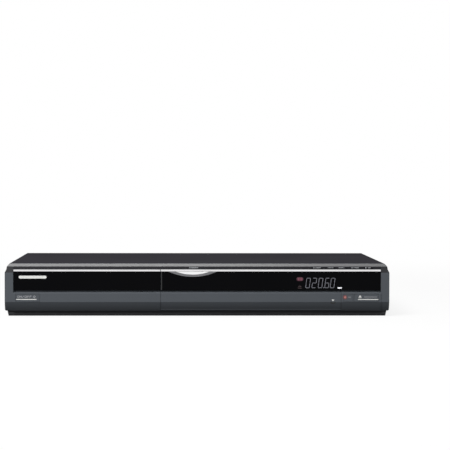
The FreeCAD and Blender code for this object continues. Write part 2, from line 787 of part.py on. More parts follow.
def front_bezel():
    """The one moulding that carries everything on the front."""
    wall_top = BEVEL_BOTTOM - WALL
    shelf_bottom = WINDOW_BOTTOM + TOUCH_GAP
    shelf_top = WINDOW_BOTTOM + WALL
    back_wall = box(-PILLAR_INNER, PILLAR_INNER, SEAT_FACE, SEAT_BACK, WINDOW_BOTTOM, wall_top)
    shelf = box(TRAY_SEAM_X, FLAP_RIGHT_X, SEAT_FACE, BAY_BACK, shelf_bottom, shelf_top)
    bay_wall = box(TRAY_SEAM_X, FLAP_RIGHT_X, BAY_WALL, BAY_BACK, LOWER_BOTTOM, shelf_top)
    solid = fuse([
        pillar(-1),
        pillar(1),
        chin(),
        lower_block(-PILLAR_INNER, TRAY_SEAM_X),
        lower_block(FLAP_RIGHT_X, PILLAR_INNER),
        back_wall,
        top_bend(),
        shelf,
        bay_wall,
    ])
    cap_y = (FRONT, FRONT + WALL + FIT_GAP)
    tools = [
        button_block(POWER_LEFT, POWER_WIDTH, BUTTON_GAP, *cap_y),
        button_block(RECORD_LEFT, RECORD_WIDTH, BUTTON_GAP, *cap_y),
        button_block(OPEN_LEFT, OPEN_WIDTH, BUTTON_GAP, *cap_y),
        tray_slot(),
        display_hole(),
        hinge_bar(BEAD_RADIUS + FIT_GAP, FIT_GAP),
        hinge_bar(PIN_RADIUS + RUNNING_GAP, FIT_GAP + WALL),
    ]
    tools += [key_stem(x, FIT_GAP, SEAT_FACE, BEVEL_BACK) for x in key_centres()]
    return cut(solid, tools + bay_holes())


def hinge_bar(radius, overrun):
    """A bar along the flap's hinge line that runs past both of its ends."""
    length = FLAP_RIGHT - FLAP_LEFT + 2 * overrun
    return rod(radius, (FLAP_LEFT - overrun, HINGE_Y, HINGE_Z), X_AXIS, length)


def flap():
    """The drop-down door in front of the sockets, with a rounded heel and a pin at each end."""
    outer = lower_section(0, FLAP_LEFT, FLAP_RIGHT, BEZEL_BACK, LOWER_BOTTOM + FIT_GAP)
    inner = lower_section(FLAP_THICKNESS, FLAP_LEFT, FLAP_RIGHT, BEZEL_BACK)
    behind = box(FLAP_LEFT, FLAP_RIGHT, HINGE_Y, BEZEL_BACK, LOWER_BOTTOM, WINDOW_BOTTOM)
    top_gap = box(FLAP_LEFT, FLAP_RIGHT, FRONT, BEZEL_BACK, WINDOW_BOTTOM - FIT_GAP, WINDOW_BOTTOM)
    shell = cut(outer, [inner, behind, top_gap])
    return fuse([shell, hinge_bar(BEAD_RADIUS, 0), hinge_bar(PIN_RADIUS, PIN_LENGTH)])


def front_plate(x0, x1, top):
    """A flat plate of the window's depth."""
    return box(x0, x1, WINDOW_FACE, WINDOW_BACK, WINDOW_BOTTOM + FIT_GAP, top)


def display_window():
    """The dark window to the right of the tray."""
    return front_plate(TRAY_SEAM_X + FIT_GAP, PILLAR_INNER - FIT_GAP, KEY_STRIP_BOTTOM - TOUCH_GAP)


def tray_front():
    """The dark front of the tray."""
    return front_plate(TRAY_FRONT_LEFT, TRAY_FRONT_RIGHT, KEY_STRIP_BOTTOM - FIT_GAP / 2)


def bright_strip(x0, x1, top):
    """A bright trim bar on the top of a front plate."""
    return box(x0, x1, CHROME_FACE, WINDOW_FACE, CHROME_BOTTOM, top)


def key_strip():
    """The dark strip above the bright trim, with a pocket for each key."""
    points = [
        (STRIP_FOOT_FACE, KEY_STRIP_BOTTOM),
        (STRIP_TOP_FACE, BEVEL_BOTTOM - TOUCH_GAP),
        (WINDOW_BACK, BEVEL_BOTTOM - TOUCH_GAP),
        (WINDOW_BACK, KEY_STRIP_BOTTOM),
    ]
    strip = extrude_x(points, -PILLAR_INNER, PILLAR_INNER)
    return cut(strip, [key_block(x, BUTTON_GAP / 2, FRONT, WINDOW_BACK) for x in key_centres()])


def key(x):
    """One key: a cap in the strip and a stem through the wall behind."""
    cap = key_block(x, 0, STRIP_FOOT_FACE - KEY_PROUD, WINDOW_BACK - KEY_PROUD)
    stem = key_stem(x, 0, WINDOW_BACK - KEY_PROUD, WINDOW_BACK + KEY_STEM_LENGTH)
    return fuse([cap, stem])


def segment_below(chord, drop):
    """A disc segment that hangs below the bright strip, as a cylinder's radius and centre height."""
    radius = (chord ** 2 / 4 + drop ** 2) / (2 * drop)
    return radius, CHROME_BOTTOM - drop + radius


def crescent_piece(chord, drop, proud, top):
    """A flat disc segment on the window, under the bright strip."""
    radius, centre_z = segment_below(chord, drop)
    disc = rod(radius, (CRESCENT_X, WINDOW_FACE - proud, centre_z), Y_AXIS, proud)
    band = box(CRESCENT_X - chord, CRESCENT_X + chord, FRONT - WALL, WINDOW_BACK, top - 2 * drop, top)
    return disc.common(band)


def crescent_rim():
    """The grey crescent, with room for the pale segment inside it."""
    rim = crescent_piece(RIM_CHORD, RIM_DROP, RIM_PROUD, CHROME_BOTTOM - TOUCH_GAP)
    lamp = crescent_piece(LAMP_CHORD + FIT_GAP, LAMP_DROP + TOUCH_GAP, RIM_PROUD, CHROME_BOTTOM)
    return rim.cut(lamp)


def crescent_lamp():
    """The pale segment inside the crescent."""
    return crescent_piece(LAMP_CHORD, LAMP_DROP, LAMP_PROUD, CHROME_BOTTOM - TOUCH_GAP)


def cover_vents():
    """Upright slots in both sides of the cover."""
    tools = []
    for index in range(VENT_COUNT):
        y = CASE_BACK - VENT_BACK_INSET + index * VENT_PITCH
        tools.append(box(-HALF_COVER, HALF_COVER, y, y + VENT_WIDTH, VENT_LOW, VENT_LOW + VENT_HEIGHT))
    return tools


def side_screw_places():
    """Start points and directions of the cover's side screws."""
    places = []
    for y in (BEZEL_BACK + SIDE_SCREW_INSET, CASE_BACK - SIDE_SCREW_INSET):
        for side in (-1, 1):
            places.append(((side * HALF_COVER, y, SIDE_SCREW_Z), (-side, 0, 0)))
    return places


def back_screw_places():
    """Start points and directions of the cover's rear screws."""
    height = TOP - LIP_HEIGHT / 2
    side = HALF_COVER - BACK_SCREW_INSET
    return [((x, CASE_BACK, height), (0, -1, 0)) for x in (-side, 0, side)]


def screw_holes(radius):
    """Clearance or thread holes for every case screw."""
    places = side_screw_places() + back_screw_places()
    return [rod(radius, start, direction, SCREW_LENGTH) for start, direction in places]


def top_cover():
    """The folded steel cover: roof, two sides and a lip over the rear panel."""
    front = BEZEL_BACK + FIT_GAP
    bottom = FOOT_HEIGHT + SHEET_GAP
    outer = box(-HALF_COVER, HALF_COVER, front, CASE_BACK, bottom, TOP)
    long_edges = [
        edge for edge in outer.Edges
        if abs(edge.Vertexes[0].Y - edge.Vertexes[1].Y) > 1 and edge.Vertexes[0].Z > bottom + 1
    ]
    outer = outer.makeFillet(COVER_BEND, long_edges)
    inner = box(-HALF_COVER + SHEET, HALF_COVER - SHEET, front, CASE_BACK - SHEET, bottom, ROOF_BOTTOM)
    below_lip = box(
        -HALF_COVER + SHEET, HALF_COVER - SHEET, CASE_BACK - SHEET, CASE_BACK, bottom, TOP - LIP_HEIGHT
    )
    return cut(outer, [inner, below_lip] + cover_vents() + screw_holes(SCREW_THREAD_RADIUS + RUNNING_GAP))


def board_bosses():
    """Centres of the raised bosses that the boards stand on, as (x, y)."""
    return [
        (MAIN_LEFT + BOSS_INSET, MAIN_FRONT + BOSS_INSET),
        (MAIN_RIGHT - BOSS_INSET, MAIN_FRONT + BOSS_INSET),
        (MAIN_LEFT + BOSS_INSET, WING_FRONT + BOSS_INSET),
        (MAIN_RIGHT - BOSS_INSET, MAIN_BACK - BOSS_INSET),
        (WING_LEFT + BOSS_INSET, WING_FRONT + BOSS_INSET),
        (WING_LEFT + BOSS_INSET, MAIN_BACK - BOSS_INSET),
        (POWER_BOARD_LEFT + BOSS_INSET, POWER_BOARD_FRONT + BOSS_INSET),
        (POWER_BOARD_LEFT + BOSS_INSET, POWER_BOARD_BACK - BOSS_INSET),
        (POWER_BOARD_RIGHT - BOSS_INSET, POWER_BOARD_FRONT + BOSS_INSET),
        (POWER_BOARD_RIGHT - BOSS_INSET, POWER_BOARD_BACK - BOSS_INSET),
    ]


def chassis_pan():
    """The steel floor with low side flanges, board bosses and cooling slots."""
    front = BEZEL_BACK + FIT_GAP
    flange_top = FLOOR_TOP + FLANGE_HEIGHT
    plate = box(-PANEL_HALF, PANEL_HALF, front, PANEL_BACK, FOOT_HEIGHT, FLOOR_TOP)
    flanges = [
        box(x, x + SHEET, front, PANEL_FRONT - SHEET, FOOT_HEIGHT, flange_top)
        for x in (-PANEL_HALF, PANEL_HALF - SHEET)
    ]
    boss_length = BOSS_HEIGHT + SHEET
    bosses = [rod(BOSS_RADIUS, (x, y, FOOT_HEIGHT), Z_AXIS, boss_length) for x, y in board_bosses()]
    pan = fuse([plate] + flanges + bosses)
    slot_back = FLOOR_SLOT_Y + FLOOR_SLOT_LENGTH
    slots = []
    for index in range(FLOOR_SLOTS):
        x = MAIN_LEFT + FLOOR_SLOT_INSET + index * FLOOR_SLOT_PITCH
        slots.append(box(x, x + FLOOR_SLOT_WIDTH, FLOOR_SLOT_Y, slot_back, FOOT_HEIGHT, FLOOR_TOP))
    return cut(pan, slots + screw_holes(SCREW_THREAD_RADIUS))


def rear_panel():
    """The steel back with a hole for every socket and the fan's grille."""
    bottom = FLOOR_TOP + TOUCH_GAP
    panel = box(-PANEL_HALF, PANEL_HALF, PANEL_FRONT, PANEL_BACK, bottom, ROOF_BOTTOM - SHEET_GAP)
    foot_half = PANEL_HALF - BOSS_RADIUS
    foot_front = PANEL_FRONT - FLANGE_HEIGHT / 2
    foot = box(-foot_half, foot_half, foot_front, PANEL_FRONT, bottom, bottom + SHEET)
    holes = [
        rod(RCA_RADIUS + HOLE_GAP, (x, PANEL_FRONT, z), Y_AXIS, SHEET)
        for x in rca_columns()
        for z in rca_rows()
    ]
    holes += [
        rod(AERIAL_RADIUS + HOLE_GAP, (x, PANEL_FRONT, aerial_z()), Y_AXIS, SHEET)
        for x in aerial_places()
    ]
    for x, width, height in rear_slots():
        half = width / 2 + FIT_GAP
        top = BOARD_TOP + height + FIT_GAP
        holes.append(box(x - half, x + half, PANEL_FRONT, PANEL_BACK, BOARD_TOP - FIT_GAP, top))
    half = INLET_WIDTH / 2 + FIT_GAP
    low = INLET_Z - INLET_HEIGHT / 2 - FIT_GAP
    high = INLET_Z + INLET_HEIGHT / 2 + FIT_GAP
    holes.append(box(INLET_X - half, INLET_X + half, PANEL_FRONT, PANEL_BACK, low, high))
    panel = fuse([panel, foot])
    return cut(panel, holes + fan_grille() + screw_holes(SCREW_THREAD_RADIUS))


def rca_columns():
    return [RCA_FIRST_X + index * RCA_PITCH_X for index in range(RCA_COLUMNS)]


def rca_rows():
    return [RCA_LOWEST + index * RCA_PITCH_Z for index in range(RCA_ROWS)]


def aerial_places():
    return [AERIAL_X - AERIAL_PITCH / 2, AERIAL_X + AERIAL_PITCH / 2]


def aerial_z():
    return BOARD_TOP + TUNER_HEIGHT / 2


def rear_slots():
    """The two flat sockets on the main board as (x, width, height)."""
    return [(HDMI_X, HDMI_WIDTH, HDMI_HEIGHT), (OPTICAL_X, OPTICAL_WIDTH, OPTICAL_HEIGHT)]


def fan_z():
    return BOARD_TOP + FAN_SIZE / 2


def fan_grille():
    """Level slots in the panel behind the fan, shorter towards the top and bottom."""
    slots = []
    count = int(FAN_BORE / GRILLE_PITCH)
    for index in range(-count, count + 1):
        z = fan_z() + index * GRILLE_PITCH
        reach = math.sqrt(FAN_BORE ** 2 - (index * GRILLE_PITCH) ** 2)
        low = z - GRILLE_SLOT / 2
        slots.append(box(FAN_X - reach, FAN_X + reach, PANEL_FRONT, PANEL_BACK, low, low + GRILLE_SLOT))
    return slots


def fan_frame():
    """The square fan housing with its round duct, hub and struts."""
    back = PANEL_FRONT - TOUCH_GAP
    front = back - FAN_DEPTH
    half = FAN_SIZE / 2
    body = box(FAN_X - half, FAN_X + half, front, back, fan_z() - half, fan_z() + half)
    body = body.cut(rod(FAN_BORE, (FAN_X, front, fan_z()), Y_AXIS, FAN_DEPTH))
    hub = rod(FAN_HUB, (FAN_X, front, fan_z()), Y_AXIS, WALL)
    shaft = rod(FAN_SHAFT_RADIUS, (FAN_X, front, fan_z()), Y_AXIS, FAN_DEPTH - WALL)
    strut_end = FAN_X + FAN_BORE + WALL / 2
    strut = box(FAN_X, strut_end, front, front + WALL, fan_z() - WALL / 2, fan_z() + WALL / 2)
    struts = []
    for index in range(3):
        turned = strut.copy()
        turned.rotate(V(FAN_X, front, fan_z()), V(*Y_AXIS), 30 + 120 * index)
        struts.append(turned)
    return fuse([body, hub, shaft] + struts)


def fan_impeller():
    """The fan's rotor: a cup with flat blades set at an angle."""
    back = PANEL_FRONT - TOUCH_GAP
    front = back - FAN_DEPTH + WALL + FIT_GAP
    length = FAN_DEPTH - 2 * WALL - FIT_GAP
    tip = FAN_BORE - FAN_TIP_GAP
    cup = ring(FAN_HUB, FAN_SHAFT_RADIUS + RUNNING_GAP, (FAN_X, front, fan_z()), Y_AXIS, length)
    room = rod(tip, (FAN_X, front, fan_z()), Y_AXIS, length)
    blades = []
    for index in range(FAN_BLADES):
        blade = box(
            FAN_X + FAN_HUB - WALL / 2, FAN_X + FAN_BORE, front - length, front + 2 * length,
            fan_z() - FAN_BLADE_THICKNESS / 2, fan_z() + FAN_BLADE_THICKNESS / 2,
        )
        blade.rotate(V(FAN_X, front + length / 2, fan_z()), V(*X_AXIS), FAN_BLADE_ANGLE)
        blade.rotate(V(FAN_X, front, fan_z()), V(*Y_AXIS), 360 * index / FAN_BLADES)
        blades.append(blade.common(room))
    return fuse([cup] + blades)


def feet():
    """Four round feet under the floor, each with a recessed ring."""
    side = HALF_COVER - FOOT_SIDE_INSET
    places = [
        (x, y)
        for x in (-side, side)
        for y in (FRONT + FOOT_FRONT_INSET, CASE_BACK - FOOT_BACK_INSET)
    ]
    solids = []
    for x, y in places:
        cone = Part.makeCone(FOOT_RADIUS - FOOT_TAPER, FOOT_RADIUS, FOOT_HEIGHT, V(x, y, 0), V(*Z_AXIS))
        groove = ring(FOOT_RADIUS / 2, FOOT_RADIUS / 2 - FOOT_TAPER, (x, y, 0), Z_AXIS, FOOT_TAPER)
        solids.append(cone.cut(groove))
    return group(solids)


def screw(start, direction):
    """A pan-head screw with a cross recess, whose head sits on a face at start."""
    top = -SCREW_HEAD_HEIGHT
    head = rod(SCREW_HEAD_RADIUS, (0, 0, top), Z_AXIS, SCREW_HEAD_HEIGHT)
    shank = rod(SCREW_THREAD_RADIUS, (0, 0, 0), Z_AXIS, SCREW_LENGTH)
    reach = SCREW_CROSS_LENGTH / 2
    half = SCREW_CROSS_WIDTH / 2
    cross = [
        box(-reach, reach, -half, half, top, top + SCREW_CROSS_DEPTH),
        box(-half, half, -reach, reach, top, top + SCREW_CROSS_DEPTH),
    ]
    solid = cut(fuse([head, shank]), cross)
    solid.Placement = FreeCAD.Placement(V(*start), FreeCAD.Rotation(V(*Z_AXIS), V(*direction)))
    return solid


def case_screws():
    """All the screws that hold the cover."""
    places = side_screw_places() + back_screw_places()
    return group([screw(start, direction) for start, direction in places])


def rca_blocks():
    """The moulded blocks that hold the rear round sockets, one per column."""
    back = PANEL_FRONT - TOUCH_GAP
    half = RCA_BLOCK_WIDTH / 2
    top = RCA_LOWEST + (RCA_ROWS - 1) * RCA_PITCH_Z + half
    solids = []
    for x in rca_columns():
        block = box(x - half, x + half, back - RCA_BLOCK_DEPTH, back, BOARD_TOP, top)
        bores = [
            rod(RCA_RADIUS, (x, back - RCA_BLOCK_DEPTH / 2, z), Y_AXIS, RCA_BLOCK_DEPTH / 2)
            for z in rca_rows()
        ]
        solids.append(cut(block, bores))
    return group(solids)


def rca_shell(x, start, z, length):
    """One round socket: a metal tube with a narrow bore and a collar."""
    return ring(RCA_RADIUS, RCA_BORE, (x, start, z), Y_AXIS, length)


def rca_shells():
    """The metal tubes of the rear round sockets."""
    start = PANEL_FRONT - TOUCH_GAP - RCA_BLOCK_DEPTH / 2
    length = CASE_BACK + RCA_REACH - start
    return group([rca_shell(x, start, z, length) for x in rca_columns() for z in rca_rows()])


def tuner_module():
    """The tuner's tin box with its two aerial sockets."""
    back = PANEL_FRONT - TOUCH_GAP
    half = TUNER_WIDTH / 2
    top = BOARD_TOP + TUNER_HEIGHT
    tin = box(AERIAL_X - half, AERIAL_X + half, TUNER_FRONT, back, BOARD_TOP, top)
    length = REAR - back
    sockets = [rod(AERIAL_RADIUS, (x, back, aerial_z()), Y_AXIS, length) for x in aerial_places()]
    bores = [rod(AERIAL_BORE, (x, back, aerial_z()), Y_AXIS, length) for x in aerial_places()]
    return cut(fuse([tin] + sockets), bores)


def hdmi_socket():
    """A flat digital video socket with its tongue."""
    half = HDMI_WIDTH / 2
    front = PANEL_FRONT - SOCKET_DEPTH
    shell = box(HDMI_X - half, HDMI_X + half, front, CASE_BACK, BOARD_TOP, BOARD_TOP + HDMI_HEIGHT)
    wall = SHEET / 2
    mouth = box(
        HDMI_X - half + wall, HDMI_X + half - wall, front + SOCKET_DEPTH / 2, CASE_BACK,
        BOARD_TOP + wall, BOARD_TOP + HDMI_HEIGHT - wall,
    )
    middle = BOARD_TOP + HDMI_HEIGHT / 2
    tongue = box(HDMI_X - half / 2, HDMI_X + half / 2, front, PANEL_FRONT, middle - wall, middle + wall)
    return fuse([shell.cut(mouth), tongue])


def optical_socket():
    """A square optical socket with a shuttered mouth."""
    half = OPTICAL_WIDTH / 2
    front = PANEL_FRONT - SOCKET_DEPTH
    top = BOARD_TOP + OPTICAL_HEIGHT
    body = box(OPTICAL_X - half, OPTICAL_X + half, front, CASE_BACK, BOARD_TOP, top)
    mouth_half = OPTICAL_WIDTH / 4
    middle = BOARD_TOP + OPTICAL_HEIGHT / 2
    mouth = box(
        OPTICAL_X - mouth_half, OPTICAL_X + mouth_half, CASE_BACK - SHEET, CASE_BACK,
        middle - mouth_half, middle + mouth_half,
    )
    return body.cut(mouth)


def ac_inlet():
    """The two-pin mains inlet: a rounded well with two pins and a flange on the panel."""
    half = INLET_WIDTH / 2
    rise = INLET_HEIGHT / 2
    front = PANEL_BACK - INLET_DEPTH
    flange_back = PANEL_BACK + INLET_FLANGE
    body = box(INLET_X - half, INLET_X + half, front, flange_back, INLET_Z - rise, INLET_Z + rise)
    flange = box(
        INLET_X - half - INLET_RIM, INLET_X + half + INLET_RIM, PANEL_BACK + TOUCH_GAP, flange_back,
        INLET_Z - rise - INLET_RIM, INLET_Z + rise + INLET_RIM,
    )
    well_radius = rise - INLET_WALL
    pitch = INLET_PIN_PITCH / 2
    well_front = front + INLET_WALL
    well_length = flange_back - well_front
    well = fuse([
        rod(well_radius, (INLET_X - pitch, well_front, INLET_Z), Y_AXIS, well_length),
        rod(well_radius, (INLET_X + pitch, well_front, INLET_Z), Y_AXIS, well_length),
        box(INLET_X - pitch, INLET_X + pitch, well_front, flange_back,
            INLET_Z - well_radius, INLET_Z + well_radius),
    ])
    pins = [
        rod(INLET_PIN_RADIUS, (INLET_X + side * pitch, front, INLET_Z), Y_AXIS, INLET_DEPTH - INLET_WALL)
        for side in (-1, 1)
    ]
    return fuse([fuse([body, flange]).cut(well)] + pins)


def disc_tray():
    """The sliding tray: two disc recesses, a window for the pickup and an upstand at the front."""
    half = TRAY_HALF
    plate = box(TRAY_X - half, TRAY_X + half, WINDOW_BACK, TRAY_REAR, TRAY_BOTTOM, TRAY_TOP)
    upstand_half = half - TRAY_UPSTAND
    upstand = box(
        TRAY_X - upstand_half, TRAY_X + upstand_half, WINDOW_BACK, WINDOW_BACK + TRAY_UPSTAND,
        TRAY_BOTTOM, TRAY_TOP + TRAY_UPSTAND,
    )
    centre = (TRAY_X, SPINDLE_Y, DISC_FLOOR)
    large = rod(DISC_RADIUS + DISC_CLEARANCE, centre, Z_AXIS, TRAY_THICKNESS)
    small_floor = (TRAY_X, SPINDLE_Y, DISC_FLOOR - SMALL_DISC_RECESS)
    small = rod(SMALL_DISC_RADIUS + DISC_CLEARANCE, small_floor, Z_AXIS, TRAY_THICKNESS)
    hole = rod(TRAY_HOLE_RADIUS, (TRAY_X, SPINDLE_Y, TRAY_BOTTOM), Z_AXIS, TRAY_THICKNESS)
    slot_half = TRAY_SLOT_WIDTH / 2
    slot = box(
        TRAY_X - slot_half, TRAY_X + slot_half, SPINDLE_Y, SPINDLE_Y + TRAY_SLOT_LENGTH,
        TRAY_BOTTOM, TRAY_TOP,
    )
    return cut(fuse([plate, upstand]), [large, small, hole, slot])


def drive_wall(side):
    """One side wall of the drive with the ledge that the tray runs on."""
    outer = side * DRIVE_HALF
    inner = side * DRIVE_INNER
    ledge_end = side * (DRIVE_INNER - LEDGE_REACH)
    x0, x1 = sorted((TRAY_X + outer, TRAY_X + inner))
    wall = box(x0, x1, DRIVE_FRONT, DRIVE_REAR, DRIVE_BOTTOM, DRIVE_TOP)
    x0, x1 = sorted((TRAY_X + inner, TRAY_X + ledge_end))
    top = TRAY_BOTTOM - TOUCH_GAP
    ledge = box(x0, x1, DRIVE_FRONT, DRIVE_REAR, top - LEDGE_HEIGHT, top)
    return [wall, ledge]


def post(x, y, shoulder_radius, shoulder_top, peg_radius, peg_top):
    """A stepped post on the drive's floor: a shoulder to stand on and a peg to turn on."""
    return [
        rod(shoulder_radius, (x, y, DRIVE_BOTTOM), Z_AXIS, shoulder_top - DRIVE_BOTTOM),
        rod(peg_radius, (x, y, DRIVE_BOTTOM), Z_AXIS, peg_top - DRIVE_BOTTOM),
    ]


def pivot_lug(side):
    """One upright of the drive that holds a pivot of the traverse."""
    inner = side * (TRAVERSE_HALF_WIDTH + FIT_GAP)
    outer = side * (TRAVERSE_HALF_WIDTH + FIT_GAP + PIVOT_LENGTH)
    x0, x1 = sorted((TRAY_X + inner, TRAY_X + outer))
    half = PIVOT_RADIUS + WALL
    return box(x0, x1, PIVOT_Y - half, PIVOT_Y + half, DRIVE_BOTTOM, PIVOT_Z + half)


def drive_frame():
    """The drive's moulded tub: walls, tray ledges, gear posts and traverse pivots."""
    half = DRIVE_HALF
    floor = box(TRAY_X - half, TRAY_X + half, DRIVE_FRONT, DRIVE_REAR, DRIVE_BOTTOM, DRIVE_FLOOR)
    well_half = TRAVERSE_HALF_WIDTH - WALL * 2
    well_front = SPINDLE_Y - TRAVERSE_FRONT + WALL * 2
    well_back = PIVOT_Y - PIVOT_LUG_DEPTH
    well = box(
        TRAY_X - well_half, TRAY_X + well_half, well_front, well_back, DRIVE_BOTTOM, DRIVE_FLOOR
    )
    front_wall = box(
        TRAY_X - half, TRAY_X + half, DRIVE_FRONT, DRIVE_FRONT + DRIVE_WALL,
        DRIVE_BOTTOM, RACK_BOTTOM - FIT_GAP * 2,
    )
    rear_wall = box(
        TRAY_X - half, TRAY_X + half, DRIVE_REAR - DRIVE_WALL, DRIVE_REAR, DRIVE_BOTTOM, DRIVE_TOP
    )
    leg_inset = WALL * 3
    legs = [
        rod(WALL * 2, (TRAY_X + side * (half - leg_inset), y, FLOOR_TOP), Z_AXIS, DRIVE_LIFT)
        for side in (-1, 1)
        for y in (DRIVE_FRONT + leg_inset * 2, DRIVE_REAR - leg_inset)
    ]
    rest_y = SPINDLE_Y - TRAVERSE_FRONT + WALL
    rest_top = lowered_height(rest_y, PLATE_BOTTOM) - FIT_GAP
    rest = box(TRAY_X - WALL * 3, TRAY_X + WALL * 3, rest_y - WALL, rest_y + WALL, DRIVE_BOTTOM, rest_top)
    shapes = [floor.cut(well), front_wall, rear_wall, rest] + legs
    shapes += drive_wall(-1) + drive_wall(1)
    gear_shoulder = GEAR_BORE + SHOULDER_EXTRA
    peg_top = TRAY_BOTTOM - FIT_GAP
    shapes += post(GEAR_X, GEAR_Y, gear_shoulder, GEAR_BOTTOM - TOUCH_GAP, GEAR_BORE, peg_top)
    shapes += post(PULLEY_X, PULLEY_Y, gear_shoulder, PULLEY_BOTTOM - TOUCH_GAP, GEAR_BORE, peg_top)
    shapes += [pivot_lug(-1), pivot_lug(1)]
    reach = TRAVERSE_HALF_WIDTH + FIT_GAP + PIVOT_LENGTH
    bore = rod(PIVOT_RADIUS + RUNNING_GAP, (TRAY_X - reach, PIVOT_Y, PIVOT_Z), X_AXIS, 2 * reach)
    return cut(fuse(shapes), [bore])


def lowered_height(y, z):
    """Z of a raised point of the traverse once the traverse is lowered."""
    angle = TILT / DEGREES
    return PIVOT_Z + (y - PIVOT_Y) * math.sin(angle) + (z - PIVOT_Z) * math.cos(angle)


def drive_cover():
    """The drive's steel lid, whose middle hole carries the clamper."""
    half = DRIVE_HALF + TOUCH_GAP
    outside = half + SHEET
    plate = box(
        TRAY_X - outside, TRAY_X + outside, DRIVE_FRONT, DRIVE_REAR, COVER_PLATE_BOTTOM, COVER_PLATE_TOP
    )
    skirt_low = TRAY_BOTTOM - LEDGE_HEIGHT
    skirts = [
        box(x, x + SHEET, DRIVE_FRONT, DRIVE_REAR, skirt_low, COVER_PLATE_TOP)
        for x in (TRAY_X - outside, TRAY_X + half)
    ]
    hole = rod(
        CLAMPER_NECK_RADIUS + CLAMPER_NECK_GAP, (TRAY_X, SPINDLE_Y, COVER_PLATE_BOTTOM), Z_AXIS, SHEET
    )
    return fuse([plate] + skirts).cut(hole)


def clamper():
    """The magnetic puck that hangs in the lid's hole and presses on the disc."""
    bottom = DISC_SEAT + CLAMPER_DISC_GAP + HUB_HEIGHT / 2
    middle = COVER_PLATE_BOTTOM - FIT_GAP * 3
    flange = COVER_PLATE_TOP + TOUCH_GAP
    return fuse([
        rod(CLAMPER_RADIUS, (TRAY_X, SPINDLE_Y, bottom), Z_AXIS, middle - bottom),
        rod(CLAMPER_NECK_RADIUS, (TRAY_X, SPINDLE_Y, bottom), Z_AXIS, flange - bottom),
        rod(CLAMPER_FLANGE_RADIUS, (TRAY_X, SPINDLE_Y, flange), Z_AXIS, CLAMPER_FLANGE),
    ])


def involute(angle):
    return math.tan(angle) - angle


def gear_outline(teeth, x, y, turn):
    """Corners of a spur gear with involute flanks; one tooth's middle points along turn."""
    pitch_radius = MODULE * teeth / 2
    base_radius = pitch_radius * math.cos(PRESSURE_ANGLE)
    tip_radius = pitch_radius + ADDENDUM * MODULE
    root_radius = pitch_radius - DEDENDUM * MODULE
    half_pitch_tooth = math.pi / (2 * teeth) - BACKLASH / (2 * pitch_radius)
    start_radius = max(base_radius, root_radius)
    steps = 4
    flank = []
    for index in range(steps + 1):
        radius = start_radius + (tip_radius - start_radius) * index / steps
        pressure = math.acos(min(1.0, base_radius / radius))
        half = half_pitch_tooth + involute(PRESSURE_ANGLE) - involute(pressure)
        flank.append((radius, half))
    tooth = [(root_radius, -flank[0][1])] if root_radius < start_radius else []
    tooth += [(radius, -half) for radius, half in flank]
    tooth += [(radius, half) for radius, half in reversed(flank)]
    tooth += [(root_radius, flank[0][1])] if root_radius < start_radius else []
    points = []
    for number in range(teeth):
        middle = turn + 2 * math.pi * number / teeth
        for radius, offset in tooth:
            angle = middle + offset
            points.append((x + radius * math.cos(angle), y + radius * math.sin(angle)))
    return points


def tray_rack():
    """The rack under the tray, with teeth towards the drive gear."""
    pitch = math.pi * MODULE
    slope = math.tan(PRESSURE_ANGLE)
    half_tooth = pitch / 4 - BACKLASH / 2
    tip_x = RACK_PITCH_X - ADDENDUM * MODULE
    root_x = RACK_PITCH_X + DEDENDUM * MODULE
    tip_half = half_tooth - ADDENDUM * MODULE * slope
    root_half = half_tooth + DEDENDUM * MODULE * slope
    first = -int(GEAR_RADIUS / 2 / pitch)
    last = int((TRAY_TRAVEL + GEAR_RADIUS / 2) / pitch)
    points = []
    for number in range(first, last + 1):
        middle = GEAR_Y + (number + 0.5) * pitch
        points += [
            (root_x, middle - root_half),
            (tip_x, middle - tip_half),
            (tip_x, middle + tip_half),
            (root_x, middle + root_half),
        ]
    back_x = RACK_PITCH_X + RACK_BODY
    front_y = GEAR_Y + first * pitch
    rear_y = GEAR_Y + (last + 1) * pitch
    points = [(back_x, front_y), (root_x, front_y)] + points + [(root_x, rear_y), (back_x, rear_y)]
    return extrude_z(points, RACK_BOTTOM, TRAY_BOTTOM)


def drive_gear():
    """The large gear that meshes with the rack."""
    wheel = extrude_z(gear_outline(GEAR_TEETH, GEAR_X, GEAR_Y, 0), GEAR_BOTTOM, GEAR_TOP)
    return wheel.cut(rod(GEAR_BORE + RUNNING_GAP, (GEAR_X, GEAR_Y, GEAR_BOTTOM), Z_AXIS, GEAR_THICKNESS))


def grooved_pulley(x, y, radius):
    """A belt pulley between its bottom and top levels, with a groove for the belt."""
    flange = radius + PULLEY_FLANGE
    body = rod(flange, (x, y, PULLEY_BOTTOM), Z_AXIS, PULLEY_THICKNESS)
    groove_bottom = (PULLEY_BOTTOM + PULLEY_TOP) / 2 - BELT_THICKNESS
    return body.cut(ring(flange + WALL, radius, (x, y, groove_bottom), Z_AXIS, 2 * BELT_THICKNESS))


def pulley_gear():
    """The belt-driven pulley in one with the pinion above it."""
    half_tooth = math.pi / PINION_TEETH
    pinion = extrude_z(gear_outline(PINION_TEETH, PULLEY_X, PULLEY_Y, half_tooth), PULLEY_TOP, GEAR_TOP)
    body = fuse([grooved_pulley(PULLEY_X, PULLEY_Y, PULLEY_RADIUS), pinion])
    height = GEAR_TOP - PULLEY_BOTTOM
    return body.cut(rod(GEAR_BORE + RUNNING_GAP, (PULLEY_X, PULLEY_Y, PULLEY_BOTTOM), Z_AXIS, height))


def motor_pulley():
    """The small pulley on the loading motor."""
    body = grooved_pulley(MOTOR_X, MOTOR_Y, MOTOR_PULLEY_RADIUS)
    start = (MOTOR_X, MOTOR_Y, PULLEY_BOTTOM)
    return body.cut(rod(MOTOR_SHAFT_RADIUS + RUNNING_GAP, start, Z_AXIS, PULLEY_THICKNESS))


